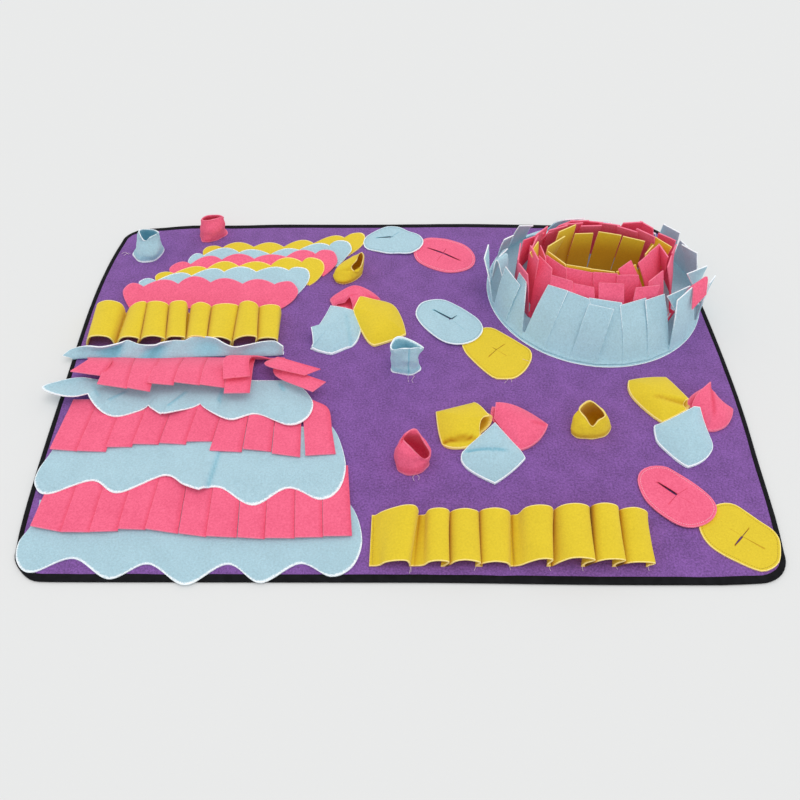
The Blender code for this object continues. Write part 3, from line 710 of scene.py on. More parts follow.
# both ends of each tongue's seam, then both corners of its free end and, where it is folded, of the fold
RUFFLED = (
    (-490, -451, (-499, -28, 25), (-449, -36, 24), (-480, 0, 21), (-442, -8, 24)),
    (-450, -414, (-451, -56, 28), (-405, -64, 27)),
    (-413, -374, (-405, -63, 28), (-370, -70, 27)),
    (-373, -338, (-377, -55, 30), (-337, -58, 28)),
    (-337, -301, (-337, -53, 30), (-298, -57, 27)),
    (-300, -269, (-298, -56, 28), (-261, -61, 26)),
    (-268, -226, (-260, -72, 26), (-222, -70, 25)),
    (-225, -200, (-263, -50, 34), (-224, -44, 33), (-265, -4, 33), (-227, -4, 33)),
    (-199, -190, (-143, -39, 30), (-119, -28, 32), (-203, -17, 28), (-181, -3, 30)),
    (-189, -180, (-129, -66, 23), (-110, -49, 26), (-189, -28, 18), (-172, -14, 20)),
)


def make_fringe_1():
    """The rear fringe, whose tongues are ruffled up, one folded over its neighbour and two turned aside."""
    tongues = []
    ahead, over = RUFFLED_HEAD
    for left, right, *corners in RUFFLED:
        ends = [Vector(corner) for corner in corners]
        bends = ends[2:] or [Vector((mix(x, end.x, 0.5), *RUFFLED_BEND)) for x, end in zip((left, right), ends)]
        tongues.append([ends[:2], bends] + [[Vector((x, y, z)) for x in (left, right)] for y, z in (
            (RUFFLED_SEAM - ahead, LAID / MM + over), (RUFFLED_SEAM, LAID / MM))])
    piece = comb("fringe_1", "pink_felt", tongues, along=6)


# ---------------------------------------------------------------- loop strips
# each loop from foot to foot, as (x, height), along the front and along the rear edge of its strip
Loops = namedtuple("Loops", "name front back tab loops")
LOOP_STRIPS = (
    Loops("rear_loops", 47, 125, 2, (
        (((-498, 0), (-495, 11), (-488, 21), (-475, 24), (-460, 21), (-455, 11), (-455, 0)),
         ((-498, 0), (-496, 16), (-489, 24), (-474, 28), (-459, 23), (-455, 13), (-455, 0))),
        (((-450, 0), (-445, 12), (-437, 20), (-424, 22), (-413, 18), (-417, 9), (-421, 0)),
         ((-451, 0), (-443, 12), (-433, 21), (-424, 25), (-416, 25), (-417, 14), (-419, 0))),
        (((-417, 0), (-409, 15), (-400, 22), (-385, 24), (-372, 18), (-377, 10), (-384, 0)),
         ((-416, 0), (-415, 15), (-410, 24), (-397, 27), (-384, 23), (-380, 15), (-381, 0))),
        (((-372, 0), (-369, 15), (-362, 22), (-352, 23), (-340, 21), (-345, 12), (-351, 0)),
         ((-379, 0), (-377, 16), (-371, 25), (-360, 28), (-351, 26), (-350, 15), (-351, 0))),
        (((-341, 0), (-337, 15), (-330, 22), (-318, 24), (-307, 20), (-310, 11), (-314, 0)),
         ((-345, 0), (-341, 15), (-335, 21), (-325, 25), (-315, 21), (-311, 14), (-312, 0))),
        (((-308, 0), (-304, 14), (-297, 20), (-283, 22), (-269, 15), (-269, 8), (-272, 0)),
         ((-311, 0), (-309, 12), (-301, 19), (-285, 22), (-269, 20), (-265, 14), (-266, 0))),
        (((-266, 0), (-262, 14), (-253, 21), (-240, 25), (-227, 23), (-228, 14), (-231, 0)),
         ((-265, 0), (-262, 17), (-257, 25), (-247, 28), (-237, 24), (-233, 15), (-233, 0))),
        (((-227, 0), (-225, 13), (-219, 19), (-207, 21), (-195, 18), (-195, 10), (-197, 0)),
         ((-231, 0), (-230, 12), (-225, 17), (-212, 20), (-200, 18), (-197, 12), (-197, 0))))),
    Loops("front_loops", -348, -272, 6, (
        (((-33, 0), (-25, 2), (-17, 10), (-5, 14), (8, 14), (12, 7), (13, 0)),
         ((-31, 2), (-22, 11), (-8, 20), (8, 27), (20, 26), (24, 12), (22, 0))),
        (((19, 0), (31, 2), (39, 11), (50, 14), (62, 11), (57, 3), (53, 0)),
         ((28, 2), (36, 4), (41, 16), (51, 20), (62, 18), (66, 9), (64, 0))),
        (((60, 0), (66, 5), (73, 13), (86, 16), (102, 10), (99, 4), (98, 0)),
         ((66, 0), (69, 9), (76, 16), (89, 19), (102, 14), (106, 6), (106, 0))),
        (((107, 0), (106, 5), (111, 9), (123, 12), (136, 9), (141, 3), (142, 0)),
         ((109, 0), (108, 8), (113, 17), (128, 21), (142, 16), (147, 8), (148, 0))),
        (((147, 0), (157, 3), (168, 12), (181, 19), (194, 17), (190, 8), (190, 0)),
         ((152, 3), (161, 6), (169, 22), (183, 28), (199, 25), (205, 12), (204, 0))),
        (((196, 0), (207, 12), (219, 21), (233, 22), (248, 17), (238, 10), (234, 0)),
         ((206, 0), (207, 13), (216, 27), (233, 32), (248, 27), (253, 16), (254, 0))),
        (((240, 0), (250, 10), (261, 17), (274, 19), (287, 16), (278, 9), (274, 0)),
         ((256, 0), (253, 16), (259, 29), (272, 33), (286, 28), (291, 17), (292, 0))),
        (((280, 0), (289, 7), (301, 11), (315, 11), (327, 8), (320, 4), (318, 0)),
         ((294, 0), (293, 12), (300, 20), (313, 23), (326, 17), (332, 9), (333, 0))))),
)
LOOP_STEPS, LOOP_ROWS = 5, 12
LOOP_RISE = 3             # how many points of a loop are on its left, rising side
LOOP_POINTS = len(LOOP_STRIPS[0].loops[0][0])
LOOP_END = 1.5            # mm of the strip past its last loop
LOOP_BAND = EDGE / 78     # the share of the strip's width that shows the fuzz of its cut edge
LOOP_SHADE = (0.22, 15)   # how deep the shade is at the mat, and the height at which it starts
VALLEY_SHADES = ((0.55, 14), (1.5, 7.0))       # depth, and mm to the right of a loop over which it dies away


def make_loops(strip):
    lines = []
    for edge in (0, 1):
        line = [Vector((x, z)) for loop in strip.loops for x, z in loop[edge]]
        lines.append([line[0] - Vector((strip.tab, 0))] + line + [line[-1] + Vector((LOOP_END, 0))])
    rightmost = [[max(x for x, _ in loop[edge]) for loop in strip.loops] for edge in (0, 1)]
    count = len(lines[0]) - 1
    us = steps(count * LOOP_STEPS)
    band = [0.0, LOOP_BAND, BAND_FALL * LOOP_BAND]
    vs = band + steps(LOOP_ROWS)[1:-1] + [1 - at for at in reversed(band)]

    def place(i, j):
        point = curve_at(lines[0], us[i] * count).lerp(curve_at(lines[1], us[i] * count), vs[j])
        return Vector((point.x, mix(strip.front, strip.back, vs[j]), LAID / MM + max(0.0, point.y)))

    def depth(i, j):
        point = place(i, j)
        shade, height = LOOP_SHADE
        shade *= ease((height - point.z) / height)
        loop, at = divmod(us[i] * count - 1, LOOP_POINTS)
        if loop >= 1 and at < LOOP_RISE:
            off = point.x - mix(*(edge[int(loop) - 1] for edge in rightmost), vs[j])
            shade += sum(share * ease(1 - off / over) for share, over in VALLEY_SHADES)
        return shade

    def edged(i, j):
        return float(j < 2 or j > len(vs) - 3)

    piece = felt_grid(strip.name, "yellow_felt", us, vs, place, edged=edged, depth=depth)


# ---------------------------------------------------------------- scalloped strips
def scalloped(name, finish, left, tops, right, slope=0.114):
    """A cloud strip: its rounded left end, then each crown and notch in turn, then its rounded right end."""
    return Strip(name, finish, slope, (0.30, 0.068), (left, *zip(tops[::2], tops[1::2]), right))


CLOUDS = (
    scalloped("cloud_1", "pink_felt",
        ((-450, 137), (-467, 170), (-463, 187), (-452, 193), (-435, 185)),
        ((-404, 201), (-377, 191), (-352, 209), (-322, 195), (-297, 205), (-267, 192), (-241, 203), (-212, 191)),
        ((-201, 197), (-184, 197), (-171, 177), (-178, 156), (-197, 137))),
    scalloped("cloud_2", "blue_felt",
        ((-428, 161), (-445, 193), (-441, 203), (-430, 207), (-416, 201)),
        ((-382, 220), (-358, 213), (-326, 231), (-303, 223), (-275, 236), (-247, 224), (-216, 236), (-191, 228)),
        ((-179, 236), (-160, 231), (-154, 214), (-160, 193), (-173, 173))),
    scalloped("cloud_3", "yellow_felt",
        ((-402, 184), (-420, 208), (-417, 220), (-403, 225), (-390, 221)),
        ((-359, 238), (-334, 233), (-307, 251), (-279, 239), (-252, 251), (-224, 242), (-199, 261), (-169, 251)),
        ((-157, 262), (-136, 255), (-130, 235), (-138, 214), (-152, 198))),
    scalloped("cloud_4", "pink_felt",
        ((-380, 207), (-400, 231), (-393, 246), (-379, 252), (-365, 246)),
        ((-337, 266), (-312, 257), (-284, 272), (-255, 260), (-230, 271), (-199, 266), (-173, 283), (-147, 274)),
        ((-135, 284), (-116, 280), (-108, 257), (-117, 238), (-130, 222))),
    scalloped("cloud_5", "blue_felt",
        ((-357, 230), (-371, 253), (-366, 270), (-356, 275), (-346, 270)),
        ((-313, 289), (-284, 278), (-259, 286), (-228, 274), (-203, 289), (-178, 286), (-147, 303), (-123, 297)),
        ((-112, 310), (-92, 308), (-84, 290), (-92, 272), (-107, 248))),
    scalloped("cloud_6", "yellow_felt",
        ((-337, 253), (-350, 282), (-346, 298), (-332, 303), (-317, 297)),
        ((-292, 313), (-261, 300), (-233, 313), (-207, 300), (-178, 320), (-154, 311), (-120, 333), (-98, 327)),
        ((-86, 340), (-67, 342), (-61, 327), (-68, 303), (-94, 273)), 0.0),
)


# ---------------------------------------------------------------- slit ovals
Oval = namedtuple("Oval", "name finish angle tilt centre rim slits")
# the rim goes round clockwise from its left end; the slits are the four arms of the cut from the centre, right, up,
# left and down of it, as (end x, end y, gap, shade), with no gap where the felt has closed again
OVALS = (
    Oval("oval_1_pink", "pink_felt", 149, 0.0, (80, 285), (
        (27, 296), (36, 313), (52, 328), (80, 327), (100, 320), (118, 310), (131, 294), (137, 273), (133, 253),
        (119, 239), (94, 232), (73, 236), (50, 248), (32, 266)),
        ((108, 265, 3.4, 2.0), (86, 297, 0.9, 1.6), (52, 300, 3.6, 2.0), (69, 264, 0.4, 0.9))),
    Oval("oval_1_blue", "blue_felt", 171, 0.030, (-12, 329), (
        (-63, 307), (-60, 329), (-42, 347), (-23, 359), (-10, 360), (4, 356), (18, 345), (34, 336), (43, 324),
        (45, 310), (37, 293), (19, 281), (0, 282), (-18, 282), (-40, 289), (-56, 295)),
        ((14, 322, 0.0, 0.0), (1, 342, 0.7, 0.9), (-40, 326, 3.4, 2.0), (-25, 315, 0.0, 0.0))),
    Oval("oval_2_yellow", "yellow_felt", 130, 0.0, (156, 42), (
        (101, 58), (108, 75), (124, 87), (141, 93), (155, 92), (171, 79), (185, 67), (199, 54), (210, 43), (212, 29),
        (207, 13), (196, -5), (180, -19), (162, -21), (148, -19), (131, -1), (116, 20), (106, 37)),
        ((172, 28, 0.3, 0.5), (170, 54, 0.7, 1.3), (151, 47, 0.9, 1.6), (143, 27, 0.7, 1.3))),
    Oval("oval_2_blue", "blue_felt", 137, 0.029, (87, 111), (
        (28, 127), (33, 145), (43, 156), (60, 161), (76, 160), (89, 152), (105, 139), (120, 124), (132, 109),
        (138, 90), (133, 73), (120, 59), (103, 52), (85, 53), (70, 60), (55, 75), (40, 95), (31, 113)),
        ((106, 86, 0.3, 0.4), (97, 120, 2.6, 2.0), (58, 135, 3.4, 2.0), (75, 100, 0.0, 0.0))),
    Oval("oval_3_yellow", "yellow_felt", 134, 0.0, (455, -303), (
        (401, -290), (406, -273), (420, -260), (436, -252), (450, -250), (461, -254), (472, -265), (486, -280),
        (498, -292), (503, -305), (501, -320), (494, -339), (484, -349), (468, -355), (455, -351), (441, -343),
        (424, -332), (410, -319), (403, -305)),
        ((479, -322, 0.4, 0.8), (467, -291, 0.9, 1.3), (440, -290, 0.2, 0.3), (441, -317, 2.6, 2.0))),
    Oval("oval_3_pink", "pink_felt", 134, 0.029, (382, -238), (
        (333, -217), (336, -204), (344, -194), (358, -188), (377, -189), (390, -199), (406, -214), (422, -233),
        (430, -248), (431, -262), (423, -276), (409, -286), (390, -291), (374, -287), (359, -275), (345, -259),
        (336, -241)),
        ((401, -254, 0.2, 0.4), (398, -228, 0.4, 0.7), (360, -216, 4.0, 2.0), (368, -253, 0.4, 0.9))),
)
OVAL_LENGTH = 118
OVAL_ROWS = 16
QUARTER_COLUMNS = 12
OVAL_BAND = EDGE / 50     # the share of the way in from the rim that shows the fuzz of the cut
SLIT_BAND = 0.05          # the share of a quarter beside an arm that has rows of its own
SLIT_PLAIN = 0.9          # the share of the way to the rim within which a cut shows no fuzz
SLIT_OVERRUN = 0.02       # how far the shade of a slit runs on past its end
SLIT_GIVE = 0.25          # how fast the felt beside an arm closes up with the distance from it


def rim_distance(rim, centre, angle):
    """How far from the centre the rim lies at an angle."""
    way = Vector((math.cos(angle), math.sin(angle)))
    for a, b in zip(rim, rim[1:]):
        side, off = b.xy - a.xy, a.xy - centre
        turn = way.cross(side)
        if turn and -0.001 <= off.cross(way) / turn <= 1.001 and off.cross(side) / turn > 0:
            return off.cross(side) / turn
    raise ValueError("the rim doesn't close round its centre")


def oval_height(oval, x, y):
    """Height of an oval's underside, which leans where the oval lies on its neighbour."""
    lean = math.radians(oval.angle)
    along = (x - oval.centre[0]) * math.cos(lean) + (y - oval.centre[1]) * math.sin(lean)
    return LAID / MM + oval.tilt * (OVAL_LENGTH / 2 - along)


def make_oval(oval):
    """A flat oval with a cross cut in it: four quarters, parted along the arms of the cut."""
    centre = Vector(oval.centre)
    rim = rim_line([(*oval.rim, oval.rim[0])])
    shares = steps(QUARTER_COLUMNS, SLIT_BAND, SLIT_BAND)
    width = len(shares)
    us = range(4 * width + 1)
    vs = steps(OVAL_ROWS)[:-1] + [1 - BAND_FALL * OVAL_BAND, 1 - OVAL_BAND, 1.0]
    arms, angles = [], []
    for end_x, end_y, gap, shade in oval.slits:
        arm = Vector((end_x, end_y)) - centre
        angle = math.atan2(arm.y, arm.x)
        while angles and angle < angles[-1]:
            angle += 2 * math.pi
        angles.append(angle)
        arms.append((arm.length, arm.length / rim_distance(rim, centre, angle), gap, shade))
    angles.append(angles[0] + 2 * math.pi)

    def opened(point, q, side):
        """Moves a place of a quarter away from the arm at one side of it, so that the cut gapes."""
        length, _, gap, _ = arms[(q + (side < 0)) % 4]
        angle = angles[q + (side < 0)]
        along = Vector((math.cos(angle), math.sin(angle)))
        across = Vector((-along.y, along.x)) * side
        down, off = (point - centre).dot(along), (point - centre).dot(across)
        if not 0 <= down < length:
            return point
        half = gap / 2 * (1 - (down / length) ** 2)
        return point + across * max(0.0, half - SLIT_GIVE * off)

    def place(i, j):
        q, c = divmod(i % (4 * width), width)
        angle = mix(angles[q], angles[q + 1], shares[c])
        point = centre + Vector((math.cos(angle), math.sin(angle))) * rim_distance(rim, centre, angle) * vs[j]
        point = opened(opened(point, q, 1), q, -1)
        return Vector((point.x, point.y, oval_height(oval, point.x, point.y)))

    def cut(i, j):
        _, end, gap, _ = arms[(i // width + 1) % 4]
        return i % width == width - 1 and gap > 0 and (vs[j] + vs[j + 1]) / 2 < end

    def edged(i, j):
        return 1.0 if j >= len(vs) - 2 else -1.0 if vs[j] < SLIT_PLAIN else 0.0

    def depth(i, j):
        q, c = divmod(i % (4 * width), width)
        _, end, _, shade = arms[(q + (c > 0)) % 4]
        return shade * (c in (0, width - 1) and vs[j] <= end + SLIT_OVERRUN)

    piece = felt_grid(oval.name, oval.finish, us, vs, place, cut=cut, merged=True, grow=-1.0, rippled=0.4,
                      edged=edged, depth=depth)


# ---------------------------------------------------------------- sewing
STITCH = (1.7, 0.7, 0.35)           # mm, length, width and height of a stitch; drawn thicker than thread, to show
STITCH_PITCH = 3.1
STITCH_INSET = 4.0                  # mm from the cut edge
SEAM_COLOURS = (("pink_felt", "#FFC0CF"), ("yellow_felt", "#BFA12A"), ("blue_felt", "#8DB0BC"))
TAB_SEAMS = ((-34.5, -345, 24), (149, -343, 22))     # on the front loops: x and y of the first stitch, and number
TAB_SEAM_WOBBLE = 0.6               # mm to the left and right
TAB_SEAM_LIFT = 1.5                 # mm over a flat piece, because the strip rises there
LOOSE_END_COLOUR = "#F2DDE2"
THREAD = 0.24                       # mm, radius of a loose end
THREAD_SIDES = 5
THREAD_OVERLAP = 1.1                # how much longer than its place each piece of a loose end is
# loose ends of thread, as the points that each runs through
LOOSE_ENDS = (
    ((14, -347, 4), (14, -352, 5), (13, -358, 4)), ((15, -348, 4), (15, -352, 5), (15, -356, 4)),
    ((99, -347, 4), (98, -350, 5), (96, -354, 4)), ((143, -347, 4), (142, -350, 5), (143, -353, 4)),
    ((195, -347, 4), (193, -350, 5), (194, -354, 4)), ((237, -347, 4), (235, -351, 5), (236, -354, 4)),
    ((280, -347, 4), (279, -350, 5), (281, -352, 4)), ((322, -347, 4), (320, -351, 5), (321, -354, 4)),
    ((17, -12, 4), (14, -19, 6), (15, -27, 4)), ((19, -12, 4), (24, -17, 6), (20, -23, 4), (22, -29, 4)),
    ((171, -20, 5), (168, -24, 6), (163, -29, 4)), ((172, -20, 5), (175, -24, 5), (174, -27, 4)),
    ((196, 22, 5), (206, 15, 7), (212, 16, 4)),
    ((-494, 279, 5), (-488, 281, 7), (-481, 277, 5)), ((-490, 275, 4), (-484, 279, 6), (-479, 280, 5)),
    ((22, -203, 4), (19, -209, 6), (21, -214, 4)), ((25, -203, 4), (28, -208, 6), (27, -212, 4)),
)


def sew(bm, point, along):
    """One stitch, a small flat block that lies along its seam."""
    turn = Matrix.Rotation(math.atan2(along.y, along.x), 4, "Z")
    size = Matrix.Diagonal((*STITCH, 1.0))
    bmesh.ops.create_cube(bm, size=1.0, matrix=Matrix.Scale(MM, 4) @ Matrix.Translation(point) @ turn @ size)


def finish_sewing(name, bm, slot, colour):
    piece = finish_piece(name, bm, slot)
    piece.data.materials[0] = thread_material(name + "_thread", linear(colour))


def make_sewing():
    """The seams that show, and the loose ends of thread that hang from them."""
    felt_mm = bpy.context.scene.felt_sizes.felt / MM
    for slot, colour in SEAM_COLOURS:
        bm = bmesh.new()
        for oval in (o for o in OVALS if o.finish == slot):
            centre = Vector(oval.centre)
            rim = [point.xy for point in rim_line([(*oval.rim, oval.rim[0])], STITCH_PITCH)]
            for a, b in zip(rim, rim[1:]):
                point = a + (centre - a).normalized() * STITCH_INSET
                sew(bm, Vector((*point, oval_height(oval, *point) + felt_mm)), b - a)
        for x, y, count in TAB_SEAMS if slot == "yellow_felt" else ():
            for k in range(count):
                sew(bm, Vector((x + TAB_SEAM_WOBBLE * wobble(k), y + k * STITCH_PITCH,
                                LAID / MM + felt_mm + TAB_SEAM_LIFT)), Vector((0, 1)))
        finish_sewing(slot + "_seams", bm, slot, colour)
    bm = bmesh.new()
    for line in LOOSE_ENDS:
        points = [Vector(point) * MM for point in line]
        bends = [curve_at(points, k / 2) for k in range(2 * len(points) - 1)]
        for a, b in zip(bends, bends[1:]):
            turn = (b - a).to_track_quat("Z", "Y").to_matrix().to_4x4()
            bmesh.ops.create_cone(bm, cap_ends=True, segments=THREAD_SIDES, radius1=THREAD * MM, radius2=THREAD * MM,
                                  depth=(b - a).length * THREAD_OVERLAP,
                                  matrix=Matrix.Translation((a + b) / 2) @ turn)
    finish_sewing("loose_ends", bm, "pink_felt", LOOSE_END_COLOUR)


# ---------------------------------------------------------------- rolled cups
Cup = namedtuple("Cup", "name finish flat seam rings")
# seam is the column of the wall where the roll is sewn, where that shows; the rings go counter-clockwise from the
# front left: foot, base, waist and rim; a ring is (x, y, height over the mat) all round, or level(height, x, y, ...)


def level(height, *places):
    """A ring that lies level, from the x and y of each of its points in turn."""
    return tuple((x, y, height) for x, y in zip(places[::2], places[1::2]))


CUPS = (
    Cup("cup_blue_rear", "blue_felt", (0.145, 0.048), None, (
        level(0.2, -466, 265, -452, 257, -440, 257, -427, 267,
              -420, 290, -432, 309, -458, 314, -475, 286),
        level(14, -457, 264, -448, 259, -435, 259, -425, 267,
              -422, 289, -434, 306, -454, 310, -466, 285),
        ((-460, 282, 31), (-448, 275, 30), (-435, 276, 30), (-425, 281, 31), (-421, 285, 32),
         (-431, 302, 32), (-449, 305, 32), (-461, 293, 32)),
        ((-454, 282, 47), (-447, 276, 33), (-435, 280, 38), (-424, 284, 42), (-419, 284, 46),
         (-429, 288, 49), (-444, 289, 49), (-452, 287, 49)))),
    Cup("cup_pink_rear", "pink_felt", (0.145, 0.041), None, (
        level(0.2, -357, 317, -346, 314, -334, 318, -321, 329,
              -313, 343, -327, 357, -352, 357, -363, 336),
        level(8, -354, 318, -343, 315, -333, 318, -322, 326,
              -317, 341, -329, 354, -351, 354, -361, 334),
        level(24, -354, 322, -342, 318, -330, 319, -320, 325,
              -314, 334, -327, 346, -347, 346, -358, 334),
        ((-351, 325, 41), (-340, 325, 41), (-329, 329, 41), (-319, 333, 42), (-313, 332, 43),
         (-323, 339, 43), (-343, 339, 42), (-352, 330, 42)))),
    Cup("cup_blue_mid", "blue_felt", (0.13, 0.052), 12, (
        level(0.2, -10, -6, 0, -9, 15, -13, 27, -9,
              35, 0, 29, 16, 3, 20, -12, 5),
        level(12, -8, -5, 2, -7, 15, -9, 26, -6,
              31, 4, 25, 18, 3, 22, -11, 7),
        ((-9, -5, 27), (2, -6, 27), (15, -8, 27), (25, -6, 27), (29, 1, 27),
         (22, 15, 28), (2, 18, 28), (-12, 5, 28)),
        ((-11, -4, 48), (1, -2, 48), (16, -2, 48), (29, 1, 48), (38, 0, 49),
         (21, 13, 51), (-2, 21, 52), (-13, 6, 50)))),
    Cup("cup_yellow_mid", "yellow_felt", (0.135, 0.042), None, (
        level(0.2, -109, 209, -98, 200, -82, 206, -67, 221,
              -63, 239, -75, 250, -95, 250, -111, 227),
        level(8, -110, 208, -97, 200, -82, 204, -67, 220,
              -62, 240, -75, 254, -96, 251, -112, 224),
        ((-106, 217, 18), (-94, 213, 18), (-79, 212, 18), (-65, 223, 19), (-60, 237, 20),
         (-69, 251, 22), (-85, 245, 22), (-100, 231, 20)),
        ((-82, 217, 25), (-77, 214, 18), (-69, 214, 18), (-63, 221, 26), (-60, 231, 36),
         (-63, 236, 42), (-68, 231, 41), (-74, 222, 34)))),
    Cup("cup_pink_front", "pink_felt", (0.14, 0.05), None, (
        level(0.2, -2, -195, 8, -203, 21, -204, 34, -198,
              43, -184, 37, -165, 10, -161, -5, -179),
        level(14, -4, -189, 7, -198, 21, -200, 34, -194,
              44, -182, 35, -161, 10, -155, -6, -173),
        ((-2, -183, 35), (7, -189, 33), (20, -194, 26), (33, -192, 18), (44, -185, 22),
         (37, -171, 38), (12, -166, 46), (1, -175, 44)),
        ((4, -174, 46), (13, -183, 40), (25, -189, 30), (37, -191, 20), (44, -184, 25),
         (34, -175, 42), (23, -165, 56), (10, -169, 54)))),
    Cup("cup_yellow_front", "yellow_felt", (0.15, 0.044), None, (
        level(0.2, 256, -134, 268, -138, 284, -138, 303, -133,
              313, -115, 305, -101, 281, -100, 256, -119),
        level(10, 255, -132, 268, -137, 283, -137, 300, -132,
              310, -119, 302, -99, 280, -97, 254, -117),
        ((257, -123, 23), (267, -129, 22), (280, -132, 19), (294, -127, 20), (303, -119, 23),
         (297, -101, 27), (276, -100, 30), (255, -114, 27)),
        ((260, -112, 36), (269, -122, 29), (279, -132, 21), (289, -125, 27), (299, -119, 31),
         (292, -109, 37), (277, -100, 43), (265, -105, 40)))),
)
CUP_SIDES, CUP_ROWS, CUP_INNER_ROWS = 48, 18, 10
CUP_FLOOR = 0.03          # the share of the wall's height at which the inside is pinched shut
CUP_BAND = EDGE / 60      # the share of the wall's height that shows the fuzz of its cut edges
CUP_SKIRT = 0.08          # the share of the wall at its foot that shows it too
CUP_CRUMPLE = (2.2, 0.075)            # mm in and out, and how many crumples there are in a millimetre
CUP_GROOVE = 1.2          # mm deep, along the seam
CUP_PLAIN_RIM = 0.97      # the share of the wall above which nothing crumples
CUP_PINCH = 0.6           # the wall's two sides come no closer than this share of the way to the middle
CUP_FOOT_SHADE = (0.45, 0.2, 0.16)    # depth, the share of the wall where it is deepest, and its reach
CUP_INNER_SHADE = (0.3, 2.2)          # depth inside the rim, and how much it grows from rim to floor


def make_cup(cup):
    """A rolled tube in one closed skin: up its outer wall, over the rim and down inside to its pinched foot."""
    rings = [[Vector(point) for point in ring] for ring in cup.rings]
    axis = [sum(ring, Vector()) / len(ring) for ring in rings]
    last = len(rings) - 1
    felt_mm = bpy.context.scene.felt_sizes.felt / MM
    us = range(CUP_SIDES + 1)
    # each row as (share of the wall's height, whether inside, whether on the wall)
    levels = [(0.0, 0, 0)] + [(at, 0, 1) for at in steps(CUP_ROWS, CUP_BAND, CUP_BAND)]
    levels += [(1 - k / CUP_INNER_ROWS, 1, 1) for k in range(CUP_INNER_ROWS)] + [(CUP_FLOOR, 1, 0)]

    def place(i, j):
        at, inside, wall = levels[j]
        middle = curve_at(axis, at * last)
        round_share = (i % CUP_SIDES) / CUP_SIDES
        point = curve_at([curve_at(ring, round_share * len(ring), ring=True) for ring in rings], at * last)
        inward = (middle - point) * Vector((1, 1, 0))
        crumple = CUP_CRUMPLE[0] * noise.noise(point * CUP_CRUMPLE[1]) * (wall and at < CUP_PLAIN_RIM)
        groove = CUP_GROOVE if i == cup.seam and wall and not inside and 0 < at < 1 else 0.0
        point += inward.normalized() * (min(felt_mm, inward.length * CUP_PINCH) * inside + crumple + groove)
        if not wall:
            point = middle
        return Vector((point.x, point.y, LAID / MM + max(felt_mm * inside, point.z)))

    def edged(i, j):
        at, inside, wall = levels[j]
        return float(wall and (at == 1.0 or (not inside and at < CUP_SKIRT)))

    def depth(i, j):
        at, inside, wall = levels[j]
        if inside:
            at_rim, growth = CUP_INNER_SHADE
            return min(1.0, at_rim + growth * (1 - at))
        shade, deepest, reach = CUP_FOOT_SHADE
        # painted shade along the seam's groove, and low on the outer wall
        return float(i == cup.seam and 0 < at < 1) + shade * wall * ease(1 - abs(at - deepest) / reach)

    piece = felt_grid(cup.name, cup.finish, us, range(len(levels)), place, merged=True, grow=0.0, rippled=2.0,
                      edged=edged, depth=depth)


# ---------------------------------------------------------------- pocket petals
Petal = namedtuple("Petal", "name finish flat crown creases outline")
